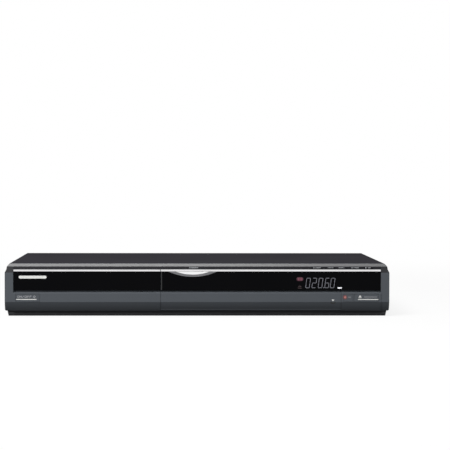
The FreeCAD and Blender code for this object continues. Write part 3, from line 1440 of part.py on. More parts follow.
def loading_motor():
    """The can motor that drives the tray."""
    start = (MOTOR_X, MOTOR_Y, DRIVE_FLOOR + TOUCH_GAP)
    can = rod(MOTOR_RADIUS, start, Z_AXIS, PULLEY_BOTTOM - DRIVE_FLOOR - WALL)
    shaft = rod(MOTOR_SHAFT_RADIUS, start, Z_AXIS, PULLEY_TOP - DRIVE_FLOOR)
    return fuse([can, shaft])


def belt_outline(grow):
    """The belt's path as a flat face: two arcs joined by their outer tangents."""
    radius_a = MOTOR_PULLEY_RADIUS + grow
    radius_b = PULLEY_RADIUS + grow
    dx = PULLEY_X - MOTOR_X
    dy = PULLEY_Y - MOTOR_Y
    distance = math.hypot(dx, dy)
    heading = math.atan2(dy, dx)
    lean = math.acos((radius_a - radius_b) / distance)
    level = (PULLEY_BOTTOM + PULLEY_TOP) / 2 - BELT_THICKNESS / 2

    def point(x, y, radius, angle):
        return V(x + radius * math.cos(angle), y + radius * math.sin(angle), level)

    a_low = point(MOTOR_X, MOTOR_Y, radius_a, heading - lean)
    a_far = point(MOTOR_X, MOTOR_Y, radius_a, heading + math.pi)
    a_high = point(MOTOR_X, MOTOR_Y, radius_a, heading + lean)
    b_low = point(PULLEY_X, PULLEY_Y, radius_b, heading - lean)
    b_far = point(PULLEY_X, PULLEY_Y, radius_b, heading)
    b_high = point(PULLEY_X, PULLEY_Y, radius_b, heading + lean)
    return Part.Face(Part.Wire([
        Part.Arc(a_high, a_far, a_low).toShape(),
        line_edge(a_low, b_low),
        Part.Arc(b_low, b_far, b_high).toShape(),
        line_edge(b_high, a_high),
    ]))


def loading_belt():
    """The square rubber belt between the two pulleys."""
    face = belt_outline(BELT_THICKNESS).cut(belt_outline(TOUCH_GAP))
    return face.extrude(V(0, 0, BELT_THICKNESS))


def rail_lugs():
    """Blocks on the traverse that hold the ends of the rails, as (y0, y1) pairs."""
    front = SLED_Y - SLED_FRONT - FIT_GAP
    back = SLED_Y + SLED_TRAVEL + SLED_BACK + FIT_GAP
    return [(front - LUG_THICKNESS, front), (back, back + LUG_THICKNESS)]


def traverse_frame():
    """The tilting sub-chassis that carries the spindle motor and the pickup's rails."""
    half = TRAVERSE_HALF_WIDTH
    front = SPINDLE_Y - TRAVERSE_FRONT
    back = PIVOT_Y + TRAVERSE_BACK
    plate = box(TRAY_X - half, TRAY_X + half, front, back, PLATE_BOTTOM, PLATE_TOP)
    room_half = SLED_HALF_WIDTH + WALL
    room = box(
        TRAY_X - room_half, TRAY_X + room_half, SLED_Y - SLED_FRONT, SLED_Y + SLED_TRAVEL + SLED_BACK,
        PLATE_BOTTOM, PLATE_TOP,
    )
    lugs = []
    for y0, y1 in rail_lugs():
        for offset in (-RAIL_OFFSET, RAIL_OFFSET):
            lugs.append(box(
                TRAY_X + offset - WALL * 1.5, TRAY_X + offset + WALL * 1.5, y0, y1,
                PLATE_BOTTOM, RAIL_Z + RAIL_RADIUS + WALL / 2,
            ))
    screw_end = rail_lugs()[1]
    lugs.append(box(
        TRAY_X + SCREW_OFFSET - WALL * 1.5, TRAY_X + SCREW_OFFSET + WALL * 1.5, *screw_end,
        PLATE_BOTTOM, RAIL_Z + SCREW_RADIUS + WALL / 2,
    ))
    length = 2 * (half + PIVOT_LENGTH)
    pivots = rod(PIVOT_RADIUS, (TRAY_X - length / 2, PIVOT_Y, PIVOT_Z), X_AXIS, length)
    bores = rail_rods(0) + [screw_rod(RUNNING_GAP, SCREW_RADIUS)]
    return cut(fuse([plate.cut(room), pivots] + lugs), bores)


def rail_rods(grow):
    """The two round rails that the sled slides on."""
    front = rail_lugs()[0][0]
    length = rail_lugs()[1][1] - front
    return [
        rod(RAIL_RADIUS + grow, (TRAY_X + offset, front, RAIL_Z), Y_AXIS, length)
        for offset in (-RAIL_OFFSET, RAIL_OFFSET)
    ]


def feed_motor_back():
    """Where the feed motor ends and its screw begins."""
    return rail_lugs()[0][0] - FIT_GAP


def screw_rod(grow, radius):
    """The feed screw's round bar, from the motor to the rear lug."""
    front = feed_motor_back()
    length = rail_lugs()[1][1] - front
    return rod(radius + grow, (TRAY_X + SCREW_OFFSET, front, RAIL_Z), Y_AXIS, length)


def lead_screw():
    """The feed screw with a worm-like row of rings."""
    core = screw_rod(0, SCREW_ROOT_RADIUS)
    front = SLED_Y - SLED_FRONT
    back = rail_lugs()[1][0] - FIT_GAP
    count = int((back - front) / SCREW_LEAD)
    rings = []
    for index in range(count):
        start = V(TRAY_X + SCREW_OFFSET, front + index * SCREW_LEAD, RAIL_Z)
        rings.append(Part.makeCone(RING_START_RADIUS, SCREW_RADIUS, SCREW_LEAD / 2, start, V(*Y_AXIS)))
    return fuse([core] + rings)


def feed_motor():
    """The small motor that turns the feed screw, seated on the traverse's plate."""
    back = feed_motor_back() - TOUCH_GAP
    front = back - FEED_MOTOR_LENGTH
    can = rod(FEED_MOTOR_RADIUS, (TRAY_X + SCREW_OFFSET, front, RAIL_Z), Y_AXIS, FEED_MOTOR_LENGTH)
    below = box(
        TRAY_X + SCREW_OFFSET - FEED_MOTOR_RADIUS, TRAY_X + SCREW_OFFSET + FEED_MOTOR_RADIUS,
        front, back, PLATE_BOTTOM - FEED_MOTOR_RADIUS, PLATE_TOP + TOUCH_GAP,
    )
    return can.cut(below)


def spindle_motor():
    """The flat motor under the turntable, with its shaft."""
    bottom = PLATE_TOP
    top = TURNTABLE_BOTTOM - FIT_GAP
    can = rod(SPINDLE_MOTOR_RADIUS, (TRAY_X, SPINDLE_Y, bottom), Z_AXIS, top - bottom)
    shaft = rod(SPINDLE_SHAFT_RADIUS, (TRAY_X, SPINDLE_Y, bottom), Z_AXIS, DISC_SEAT - bottom)
    return fuse([can, shaft])


def turntable():
    """The disc's seat with its centring hub."""
    wheel = rod(TURNTABLE_RADIUS, (TRAY_X, SPINDLE_Y, TURNTABLE_BOTTOM), Z_AXIS, TURNTABLE_HEIGHT)
    seat = V(TRAY_X, SPINDLE_Y, DISC_SEAT)
    hub = Part.makeCone(HUB_RADIUS, HUB_RADIUS - WALL / 2, HUB_HEIGHT, seat, V(*Z_AXIS))
    bore = rod(
        SPINDLE_SHAFT_RADIUS + RUNNING_GAP, (TRAY_X, SPINDLE_Y, TURNTABLE_BOTTOM), Z_AXIS,
        TURNTABLE_HEIGHT + FIT_GAP,
    )
    return fuse([wheel, hub]).cut(bore)


def pickup_sled():
    """The sled between the rails, with a bush round each rail and an arm to the screw."""
    front = SLED_Y - SLED_FRONT
    back = SLED_Y + SLED_BACK
    left = TRAY_X - SLED_HALF_WIDTH
    block = box(left, TRAY_X + SLED_HALF_WIDTH, front, back, PLATE_TOP + FIT_GAP, SLED_TOP)
    reach = RAIL_OFFSET + WALL * 1.5
    low = RAIL_Z - RAIL_RADIUS - WALL / 4
    high = RAIL_Z + RAIL_RADIUS + WALL / 2
    arms = box(TRAY_X - reach, TRAY_X + reach, front, back, low, high)
    nut = box(
        TRAY_X + SCREW_OFFSET - WALL * 1.25, TRAY_X - reach, SLED_Y - WALL, SLED_Y + WALL * 2, low, high
    )
    notch = rod(TURNTABLE_RADIUS + FIT_GAP * 2, (TRAY_X, SPINDLE_Y, PLATE_BOTTOM), Z_AXIS, TRAVERSE_DROP)
    bores = rail_rods(RUNNING_GAP) + [screw_rod(RUNNING_GAP, SCREW_RADIUS)]
    return cut(fuse([block, arms, nut]), bores + [notch])


def pickup_lens():
    """The lens on top of the sled, in its ring."""
    return rod(LENS_RADIUS, (TRAY_X, SLED_Y, SLED_TOP), Z_AXIS, LENS_HEIGHT)


def main_board():
    """The main circuit board with a wing behind the drive."""
    board = box(MAIN_LEFT, MAIN_RIGHT, MAIN_FRONT, MAIN_BACK, BOARD_BOTTOM, BOARD_TOP)
    wing = box(WING_LEFT, MAIN_LEFT, WING_FRONT, MAIN_BACK, BOARD_BOTTOM, BOARD_TOP)
    return fuse([board, wing])


def main_middle():
    return (MAIN_LEFT + MAIN_RIGHT) / 2, (MAIN_FRONT + MAIN_BACK) / 2


def chip(x, y, width, depth, height):
    """One flat part on the main board, with its middle off the board's by x and y."""
    middle_x, middle_y = main_middle()
    left = middle_x + x - width / 2
    front = middle_y + y - depth / 2
    return box(left, left + width, front, front + depth, BOARD_TOP, BOARD_TOP + height)


def board_chips():
    """The processor, memories, encoders and plugs on the main board."""
    solids = [chip(0, 0, PROCESSOR_SIZE, PROCESSOR_SIZE, PROCESSOR_HEIGHT)]
    for y in (-MEMORY_SPREAD, MEMORY_SPREAD):
        solids.append(chip(MEMORY_OFFSET, y, MEMORY_WIDTH, MEMORY_DEPTH, CHIP_HEIGHT))
    for y in (0, ENCODER_SPREAD):
        solids.append(chip(-ENCODER_OFFSET, y, ENCODER_SIZE, ENCODER_SIZE, CHIP_HEIGHT))
    for x, y in ((-PLUG_WIDTH, -PLUG_OFFSET), (PLUG_WIDTH, -PLUG_OFFSET), (PLUG_WIDTH, PLUG_OFFSET)):
        solids.append(chip(x, y, PLUG_WIDTH, PLUG_DEPTH, PLUG_HEIGHT))
    return group(solids)


def chip_heat_sink():
    """The finned heat sink on the largest chip."""
    x, y = main_middle()
    half = HEAT_SINK_SIZE / 2
    bottom = BOARD_TOP + PROCESSOR_HEIGHT
    base = box(x - half, x + half, y - half, y + half, bottom, bottom + WALL)
    gap = (HEAT_SINK_SIZE - FIN_THICKNESS) / (FIN_COUNT - 1)
    fins = [
        box(x - half + index * gap, x - half + index * gap + FIN_THICKNESS, y - half, y + half,
            bottom, bottom + HEAT_SINK_HEIGHT)
        for index in range(FIN_COUNT)
    ]
    return fuse([base] + fins)


def power_board():
    """The power supply's circuit board on the right."""
    return box(
        POWER_BOARD_LEFT, POWER_BOARD_RIGHT, POWER_BOARD_FRONT, POWER_BOARD_BACK, BOARD_BOTTOM, BOARD_TOP
    )


def power_middle():
    return (POWER_BOARD_LEFT + POWER_BOARD_RIGHT) / 2, (POWER_BOARD_FRONT + POWER_BOARD_BACK) / 2


def transformer():
    """The switching transformer: a winding inside a square core."""
    x, y = power_middle()
    half = TRANSFORMER_SIZE / 2
    top = BOARD_TOP + TRANSFORMER_HEIGHT
    core = box(x - half, x + half, y - half / 2, y + half / 2, BOARD_TOP + WALL, top)
    winding = box(x - half * 0.7, x + half * 0.7, y - half, y + half, BOARD_TOP, top - WALL * 2)
    return fuse([core, winding])


def capacitors():
    """One large and several small upright capacitors on the power board."""
    x, y = power_middle()
    large = rod(CAPACITOR_RADIUS, (x, y - 3 * CAPACITOR_RADIUS, BOARD_TOP), Z_AXIS, CAPACITOR_HEIGHT)
    small = [
        rod(CAPACITOR_RADIUS / 2, (x - 2 * CAPACITOR_RADIUS + index * CAPACITOR_RADIUS * 1.3,
                                   y + 4 * CAPACITOR_RADIUS, BOARD_TOP), Z_AXIS, CAPACITOR_HEIGHT / 2)
        for index in range(4)
    ]
    return group([large] + small)


def front_board():
    """The upright board behind the window, which carries the display and the key switches."""
    middle = (WINDOW_BOTTOM + CHROME_BOTTOM) / 2
    low = WINDOW_BOTTOM + WALL + FIT_GAP
    back = FRONT_BOARD_FACE + BOARD
    left = TRAY_SEAM_X + WALL * 2
    right = PILLAR_INNER - WALL * 2
    board = box(left, right, FRONT_BOARD_FACE, back, low, low + FRONT_BOARD_HEIGHT)
    pads = [
        rod(WALL, (x, SEAT_BACK + TOUCH_GAP, middle), Y_AXIS, FRONT_BOARD_FACE - SEAT_BACK - TOUCH_GAP)
        for x in (TRAY_SEAM_X + WALL * 5, DISPLAY_X - DISPLAY_WIDTH, PILLAR_INNER - WALL * 5)
    ]
    return fuse([board] + pads)


def display_tube():
    """The fluorescent display behind the window."""
    middle = (WINDOW_BOTTOM + CHROME_BOTTOM) / 2
    half = DISPLAY_WIDTH / 2
    rise = DISPLAY_HEIGHT / 2
    front = SEAT_BACK + TOUCH_GAP
    back = front + DISPLAY_DEPTH
    return box(DISPLAY_X - half, DISPLAY_X + half, front, back, middle - rise, middle + rise)


def jack_board():
    """The upright board behind the front sockets."""
    front = BAY_BACK + JACK_BODY_DEPTH + 2 * TOUCH_GAP
    low = FLOOR_TOP + TOUCH_GAP
    left = CARD_X - CARD_WIDTH / 2 - WALL
    right = FRONT_RCA_X + FRONT_JACK_COUNT * FRONT_RCA_PITCH
    return box(left, right, front, front + BOARD, low, JACK_Z + FLANGE_HEIGHT)


def jack_body(x):
    """The moulded block behind one round socket of the bay."""
    half = RCA_BLOCK_WIDTH / 2
    start = BAY_BACK + TOUCH_GAP
    return box(x - half, x + half, start, start + JACK_BODY_DEPTH, JACK_Z - half, JACK_Z + half)


def flat_jack(x, width, height):
    """One flat socket of the bay with its slot."""
    half = width / 2
    rise = height / 2
    back = BAY_BACK + TOUCH_GAP + JACK_BODY_DEPTH
    block = box(x - half, x + half, BAY_WALL, back, JACK_Z - rise, JACK_Z + rise)
    slot_half = half - SLOT_SIDE_WALL
    slot_rise = CARD_SLOT_HEIGHT / 2
    slot = box(
        x - slot_half, x + slot_half, BAY_WALL, back - WALL, JACK_Z - slot_rise, JACK_Z + slot_rise
    )
    return block.cut(slot)


def front_jacks():
    """The sockets behind the flap: three round, one round data, one link and one card slot."""
    tip = BAY_WALL - FRONT_JACK_REACH
    length = BAY_BACK + TOUCH_GAP - tip
    solids = []
    for x in front_jack_places():
        shell = rod(RCA_RADIUS, (x, tip, JACK_Z), Y_AXIS, length)
        bore = rod(RCA_BORE, (x, tip, JACK_Z), Y_AXIS, length)
        solids.append(fuse([jack_body(x), shell]).cut(bore))
    rim = (S_VIDEO_X, BAY_WALL - SHEET, JACK_Z)
    collar = rod(S_VIDEO_RADIUS, rim, Y_AXIS, BAY_BACK + TOUCH_GAP - rim[1])
    mouth = rod(S_VIDEO_RADIUS - WALL / 2, rim, Y_AXIS, JACK_BODY_DEPTH / 2)
    solids.append(fuse([jack_body(S_VIDEO_X), collar]).cut(mouth))
    solids += [flat_jack(x, width, height) for x, width, height in front_slots()]
    return group(solids)


def drive_ribbon():
    """The flat cable from the drive's back down to the main board's wing."""
    x0 = TRAY_X - RIBBON_WIDTH / 2
    x1 = TRAY_X + RIBBON_WIDTH / 2
    top = DRIVE_FLOOR + RIBBON_RISE
    points = [
        (DRIVE_REAR, top),
        (RIBBON_BACK, top),
        (RIBBON_BACK, BOARD_TOP),
        (RIBBON_BACK - RIBBON_THICKNESS, BOARD_TOP),
        (RIBBON_BACK - RIBBON_THICKNESS, top - RIBBON_THICKNESS),
        (DRIVE_REAR, top - RIBBON_THICKNESS),
    ]
    return extrude_x(points, x0, x1)


def main():
    os.makedirs("parts", exist_ok=True)
    nodes = {
        "top_cover": top_cover(),
        "chassis_pan": chassis_pan(),
        "rear_panel": rear_panel(),
        "front_bezel": front_bezel(),
        "bevel_strip": bevel_strip(),
        "key_strip": key_strip(),
        "display_window": display_window(),
        "chrome_strip": bright_strip(
            TRAY_SEAM_X + FIT_GAP, PILLAR_INNER - FIT_GAP, KEY_STRIP_BOTTOM - TOUCH_GAP
        ),
        "crescent_rim": crescent_rim(),
        "crescent_lamp": crescent_lamp(),
        "tray_front": tray_front(),
        "tray_chrome_strip": bright_strip(
            TRAY_FRONT_LEFT, TRAY_FRONT_RIGHT, KEY_STRIP_BOTTOM - FIT_GAP / 2
        ),
        "flap": flap(),
        "power_button": button(POWER_LEFT, POWER_WIDTH),
        "record_button": button(RECORD_LEFT, RECORD_WIDTH),
        "open_button": button(OPEN_LEFT, OPEN_WIDTH),
        "feet": feet(),
        "case_screws": case_screws(),
        "fan_frame": fan_frame(),
        "fan_impeller": fan_impeller(),
        "ac_inlet": ac_inlet(),
        "rca_blocks": rca_blocks(),
        "rca_shells": rca_shells(),
        "hdmi_socket": hdmi_socket(),
        "optical_socket": optical_socket(),
        "tuner_module": tuner_module(),
        "drive_frame": drive_frame(),
        "drive_cover": drive_cover(),
        "clamper": clamper(),
        "disc_tray": disc_tray(),
        "tray_rack": tray_rack(),
        "drive_gear": drive_gear(),
        "pulley_gear": pulley_gear(),
        "motor_pulley": motor_pulley(),
        "loading_motor": loading_motor(),
        "loading_belt": loading_belt(),
        "traverse_frame": tilt(traverse_frame()),
        "spindle_motor": tilt(spindle_motor()),
        "turntable": tilt(turntable()),
        "guide_rails": tilt(group(rail_rods(0))),
        "pickup_sled": tilt(pickup_sled()),
        "pickup_lens": tilt(pickup_lens()),
        "lead_screw": tilt(lead_screw()),
        "feed_motor": tilt(feed_motor()),
        "main_board": main_board(),
        "board_chips": board_chips(),
        "chip_heat_sink": chip_heat_sink(),
        "power_board": power_board(),
        "transformer": transformer(),
        "capacitors": capacitors(),
        "front_board": front_board(),
        "display_tube": display_tube(),
        "jack_board": jack_board(),
        "front_jacks": front_jacks(),
        "drive_ribbon": drive_ribbon(),
    }
    for index, x in enumerate(key_centres()):
        nodes[f"key_{index + 1}"] = key(x)
    for name, shape in nodes.items():
        save(name, shape)


if __name__ == "__main__":
    main()
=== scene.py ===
"""Looks, stage, light and camera for the disc recorder. Metres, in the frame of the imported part."""

import json
import math

import bmesh
import bpy
from mathutils import Matrix, Vector
from mathutils.bvhtree import BVHTree

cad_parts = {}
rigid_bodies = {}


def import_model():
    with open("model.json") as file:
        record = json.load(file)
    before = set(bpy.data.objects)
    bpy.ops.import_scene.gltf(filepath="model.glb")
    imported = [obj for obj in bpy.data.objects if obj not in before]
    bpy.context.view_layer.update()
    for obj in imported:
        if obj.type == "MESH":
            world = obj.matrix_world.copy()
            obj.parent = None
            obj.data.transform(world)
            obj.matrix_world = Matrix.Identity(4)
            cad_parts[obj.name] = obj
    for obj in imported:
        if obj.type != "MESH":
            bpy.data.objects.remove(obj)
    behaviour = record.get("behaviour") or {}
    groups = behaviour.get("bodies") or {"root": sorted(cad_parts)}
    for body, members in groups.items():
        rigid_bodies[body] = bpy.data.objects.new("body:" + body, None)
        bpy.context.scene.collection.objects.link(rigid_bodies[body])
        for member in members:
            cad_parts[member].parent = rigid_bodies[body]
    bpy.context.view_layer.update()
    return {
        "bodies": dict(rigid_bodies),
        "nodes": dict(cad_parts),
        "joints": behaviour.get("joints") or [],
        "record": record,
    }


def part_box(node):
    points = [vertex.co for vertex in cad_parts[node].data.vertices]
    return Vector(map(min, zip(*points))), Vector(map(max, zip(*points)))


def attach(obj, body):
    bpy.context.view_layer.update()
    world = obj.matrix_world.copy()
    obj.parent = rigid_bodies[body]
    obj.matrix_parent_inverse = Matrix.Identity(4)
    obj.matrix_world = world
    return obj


MM = 0.001

# Depths, radius and counts that the part has where marks and rings rest on it, in millimetres
FRONT = -143.0
WINDOW_FACE = -140.5
PANEL_BACK = 133.05
SHELL_RADIUS = 4.15
SHELL_COLUMNS = 4
SHELL_ROWS = 3

# Coloured rings at the foot of the rear round sockets, in millimetres; depths start at the panel
INSERT_OUTER = 5.6
INSERT_INNER = 4.3
INSERT_START = 0.05
INSERT_END = 1.6

# Printed marks, in millimetres
MARK_THICKNESS = 0.12
MARK_SINK = 0.05
PROBE_REACH = 10.0

# Bars, pills and triangles of the front: left, right, foot and top, or tip for a triangle
BADGE = (-199.6, -168.5, 42.5, 45.7)
POWER_LINE = (-202.2, -179.6, 18.95, 19.75)
RECORD_CAPTION = (168.4, 172.0, 21.2, 22.4)
EJECT_TRIANGLE = (180.4, 183.6, 22.0, 24.0)
EJECT_BAR = (180.4, 183.6, 20.8, 21.4)
OPEN_LINE = (179.8, 202.6, 18.85, 19.65)
OPEN_CAPTION = (186.4, 201.0, 21.4, 22.6)
FLAP_ARROW = (150.2, 153.2, 19.1, 17.3)
# The window's edge line is a painted highlight along the drawer's seam
WINDOW_EDGE_HIGHLIGHT = (-40.7, -39.8, 29.9, 50.2)

# Lettering and symbols of the buttons: x and z, then sizes
POWER_TEXT = (-200.6, 21.3)
POWER_SYMBOL = (-182.0, 22.2)
LETTER_WIDTH = 1.8
LETTER_HEIGHT = 2.0
LETTER_GAP = 0.9
LETTER_STROKE = 0.4
RECORD_DOT = (165.2, 21.8)
RECORD_DOT_RADIUS = 1.35
RECORD_RING_OUTER = 2.2
RECORD_RING_INNER = 1.85

# The painted shadow of the flap's finger notch: x, z, outer and inner radius, first and last angle,
# pieces
FLAP_NOTCH_SHADOW = (151.7, 18.0, 3.9, 2.2, 212, 328, 12)

# Marks of the key strip, from the middle of a key or from the middle of the front
KEY_MARK_RISE = 0.3
KEY_MARK_HALF = 0.55
KEY_LINE_HALF = 0.3
CAPTION_DOT_X = -8.6
CAPTION_DOT_RADIUS = 0.7
CAPTION_STARTS = (-7.0, -5.0, -3.0, -1.0)
CAPTION_WIDTH = 1.6
CAPTION_HALF = 0.45

# The display: figures, then small marks in the orders given above
FIGURES = "02060"
FIGURE_PLACES = (121.0, 128.0, 135.0, 142.4, 148.6)
FIGURE_WIDTH = 4.2
FIGURE_HEIGHT = 10.8
FIGURE_FOOT = 32.2
FIGURE_STROKE = 0.55
FIGURE_SLANT = 0.13
POINT_X = 141.2
POINT_RISE = 0.1
POINT_RADIUS = 0.5
DASH = (156.9, 161.8, 31.4, 32.7)
RED_FIELD = (110.9, 118.5, 39.9, 44.1)
RED_BAR_STARTS = (112.6, 114.4, 116.2)
RED_BAR_WIDTH = 0.9
RED_BAR_LEVELS = (40.8, 43.2)
DIM_ARC = (114.6, 32.6, 1.9, 1.2, 20, 160, 10)
DIM_BAR = (112.4, 116.8, 31.6, 32.2)

# Moulded plastic: pattern scales, grain depth and the radius that edges look rounded by, in metres
CLOUD_SCALE = 35.0
SHEEN_SCALE = 220.0
SHEEN_SPREAD = 0.05
GRAIN_SCALE = 9000.0
GRAIN_DEPTH = 0.00001
SOFT_EDGE = 0.0002
FRONT_ROUGHNESS = 0.5
FRONT_SPECULAR = 0.04
FRONT_SPECKLE = 0.08

# Greys of the front moulding as they read on screen: its faces, a darker band at the shoulders'
# height, and the chin's top and foot
FRONT_GREY = (85, 89, 94)
SHOULDER_GREY = (48, 48, 50)
# The chin's top grey is painted light that offsets the shadow of the overhang, and its foot grey is
# painted shade
CHIN_PAINTED_LIGHT_GREY = (94, 94, 97)
FOOT_PAINTED_SHADE_GREY = (12, 12, 13)

# Heights of those greys, in metres
CHIN_TOP = 0.0063
SHOULDER_BAND = (0.0494, 0.0557)
BAND_EDGE = 0.0003
BAND_RANGE = 0.06

# Camera, from the corners of the case in the photograph
CAMERA_PLACE = (-0.02774, -2.25287, 0.16614)
CAMERA_YAW = 1.5819
CAMERA_PITCH = 1.7252
CAMERA_ROLL = 0.1046
CAMERA_LENS = 151.28
SENSOR_WIDTH = 36.0
CAMERA_REACH = 50.0

# Light, in metres and watts
WORLD_STRENGTH = 0.2
KEY_PLACE = (-0.7, -1.5, 1.65)
KEY_SIZE = (1.2, 0.8)
KEY_POWER = 68.0
BACK_PLACE = (-0.38, 1.5, 1.4)
BACK_SIZE = (1.3, 0.8)
BACK_POWER = 5.0

# Floor, in metres: its glow grows from the near to the far distance
FLOOR_SIZE = 12.0
FLOOR_CELLS = 8
FLOOR_GLOW_NEAR = 0.87
FLOOR_NEAR = 0.3
FLOOR_FAR = 1.3
FLOOR_SEEN = 0.85
FLOOR_BOUNCE = 0.06
FLOOR_GAP = 0.0002


def screen(red, green, blue):
    """A linear colour from values that read 0 to 255 on screen."""
    linear = []
    for value in (red, green, blue):
        share = value / 255
        linear.append(share / 12.92 if share <= 0.04045 else ((share + 0.055) / 1.055) ** 2.4)
    return (*linear, 1.0)


def new_material(name):
    """A material with its shader and an object-space coordinate node."""
    material = bpy.data.materials.new(name)
    material.use_nodes = True
    tree = material.node_tree
    shader = tree.nodes["Principled BSDF"]
    place = tree.nodes.new("ShaderNodeTexCoord")
    return material, tree, shader, place.outputs["Object"]


def noise(tree, coordinate, scale, detail=2.0, stretch=None):
    """A noise pattern; stretch scales the coordinate along each axis first."""
    if stretch is not None:
        mapping = tree.nodes.new("ShaderNodeMapping")
        mapping.inputs["Scale"].default_value = stretch
        tree.links.new(coordinate, mapping.inputs["Vector"])
        coordinate = mapping.outputs["Vector"]
    node = tree.nodes.new("ShaderNodeTexNoise")
    node.inputs["Scale"].default_value = scale
    node.inputs["Detail"].default_value = detail
    tree.links.new(coordinate, node.inputs["Vector"])
    return node.outputs["Fac"]


def vary_colour(tree, shader, pattern, colour, spread):
    """The colour, a little darker and lighter with the pattern."""
    ramp = tree.nodes.new("ShaderNodeValToRGB")
    low = [channel * (1 - spread) for channel in colour[:3]]
    high = [min(1.0, channel * (1 + spread)) for channel in colour[:3]]
    ramp.color_ramp.elements[0].position = 0.3
    ramp.color_ramp.elements[0].color = (*low, 1.0)
    ramp.color_ramp.elements[1].position = 0.7
    ramp.color_ramp.elements[1].color = (*high, 1.0)
    tree.links.new(pattern, ramp.inputs["Fac"])
    tree.links.new(ramp.outputs["Color"], shader.inputs["Base Color"])


def vary_roughness(tree, shader, pattern, low, high):
    """Roughness between two values with the pattern."""
    spread = tree.nodes.new("ShaderNodeMapRange")
    spread.inputs["To Min"].default_value = low
    spread.inputs["To Max"].default_value = high
    tree.links.new(pattern, spread.inputs["Value"])
    tree.links.new(spread.outputs["Result"], shader.inputs["Roughness"])


def bump(tree, shader, pattern, depth, edge=0.0):
    """Bump of a real depth in metres over edges that look rounded by the given radius."""
    node = tree.nodes.new("ShaderNodeBump")
    node.inputs["Strength"].default_value = 1.0
    node.inputs["Distance"].default_value = depth
    tree.links.new(pattern, node.inputs["Height"])
    if edge:
        soft = tree.nodes.new("ShaderNodeBevel")
        soft.samples = 4
        soft.inputs["Radius"].default_value = edge
        tree.links.new(soft.outputs["Normal"], node.inputs["Normal"])
    tree.links.new(node.outputs["Normal"], shader.inputs["Normal"])


def moulded(name, colour, roughness, grain=GRAIN_SCALE, depth=GRAIN_DEPTH, specular=0.4):
    """Moulded plastic or rubber: fine spark-eroded grain and slightly uneven sheen."""
    material, tree, shader, place = new_material(name)
    shader.inputs["Specular IOR Level"].default_value = specular
    vary_colour(tree, shader, noise(tree, place, CLOUD_SCALE), colour, 0.05)
    sheen = noise(tree, place, SHEEN_SCALE)
    vary_roughness(tree, shader, sheen, roughness - SHEEN_SPREAD, roughness + SHEEN_SPREAD)
    bump(tree, shader, noise(tree, place, grain, 1.0), depth, SOFT_EDGE)
    return material


def height_bands(tree, place):
    """The front's grey, with a darker band at the shoulders' height, and painted light at the chin's
    top and painted shade at its foot.
    """
    split = tree.nodes.new("ShaderNodeSeparateXYZ")
    share = tree.nodes.new("ShaderNodeMapRange")
    share.inputs["From Max"].default_value = BAND_RANGE
    ramp = tree.nodes.new("ShaderNodeValToRGB")
    tree.links.new(place, split.inputs["Vector"])
    tree.links.new(split.outputs["Z"], share.inputs["Value"])
    tree.links.new(share.outputs["Result"], ramp.inputs["Fac"])
    stops = ramp.color_ramp.elements
    front = screen(*FRONT_GREY)
    shoulder = screen(*SHOULDER_GREY)
    # The chin's foot and top take painted shade and painted light, which offset how the overhang
    # shades the chin
    stops[0].color = screen(*FOOT_PAINTED_SHADE_GREY)
    stops[1].color = front
    low, high = SHOULDER_BAND
    levels = (
        (CHIN_TOP, screen(*CHIN_PAINTED_LIGHT_GREY)),
        (CHIN_TOP + BAND_EDGE, front),
        (low - BAND_EDGE, front),
        (low, shoulder),
        (high, shoulder),
        (high + BAND_EDGE, front),
    )
    for height, tone in levels:
        stops.new(height / BAND_RANGE).color = tone
    return ramp.outputs["Color"]


def front_moulding(name):
    """The front's moulded plastic, darker on the pillars' shoulders, with painted light at the chin's
    top and painted shade at its foot.
    """
    material, tree, shader, place = new_material(name)
    shader.inputs["Specular IOR Level"].default_value = FRONT_SPECULAR
    speckle = tree.nodes.new("ShaderNodeMixRGB")
    speckle.blend_type = "MULTIPLY"
    speckle.inputs["Fac"].default_value = FRONT_SPECKLE
    tree.links.new(height_bands(tree, place), speckle.inputs["Color1"])
    tree.links.new(noise(tree, place, CLOUD_SCALE), speckle.inputs["Color2"])
    tree.links.new(speckle.outputs["Color"], shader.inputs["Base Color"])
    sheen = noise(tree, place, SHEEN_SCALE)
    vary_roughness(tree, shader, sheen, FRONT_ROUGHNESS - SHEEN_SPREAD, FRONT_ROUGHNESS + SHEEN_SPREAD)
    bump(tree, shader, noise(tree, place, GRAIN_SCALE, 1.0), GRAIN_DEPTH, SOFT_EDGE)
    return material


def glossy(name, colour, roughness, specular=0.4):
    """Polished plastic with a faint ripple and a few dull smears."""
    material, tree, shader, place = new_material(name)
    shader.inputs["Specular IOR Level"].default_value = specular
    vary_colour(tree, shader, noise(tree, place, 20.0), colour, 0.08)
    vary_roughness(tree, shader, noise(tree, place, 30.0, 4.0), roughness * 0.6, roughness * 1.6)
    bump(tree, shader, noise(tree, place, 60.0, 1.0), 0.000004, SOFT_EDGE)
    return material


def brushed(name, colour, roughness, stretch, depth=0.000004, edge=0.00015):
    """Rolled or brushed metal with fine lines along one axis."""
    material, tree, shader, place = new_material(name)
    shader.inputs["Metallic"].default_value = 1.0
    lines = noise(tree, place, 900.0, 3.0, stretch)
    vary_colour(tree, shader, lines, colour, 0.07)
    vary_roughness(tree, shader, lines, roughness - 0.06, roughness + 0.08)
    bump(tree, shader, lines, depth, edge)
    return material


def painted_steel(name, colour, roughness, specular):
    """Baked paint on sheet steel with a fine orange-peel grain."""
    material, tree, shader, place = new_material(name)
    shader.inputs["Specular IOR Level"].default_value = specular
    cells = tree.nodes.new("ShaderNodeTexVoronoi")
    cells.inputs["Scale"].default_value = 2600.0
    tree.links.new(place, cells.inputs["Vector"])
    vary_colour(tree, shader, noise(tree, place, 12.0, 3.0), colour, 0.06)
    vary_roughness(tree, shader, noise(tree, place, 400.0), roughness - 0.05, roughness + 0.06)
    bump(tree, shader, cells.outputs["Distance"], 0.000012, 0.0003)
    return material


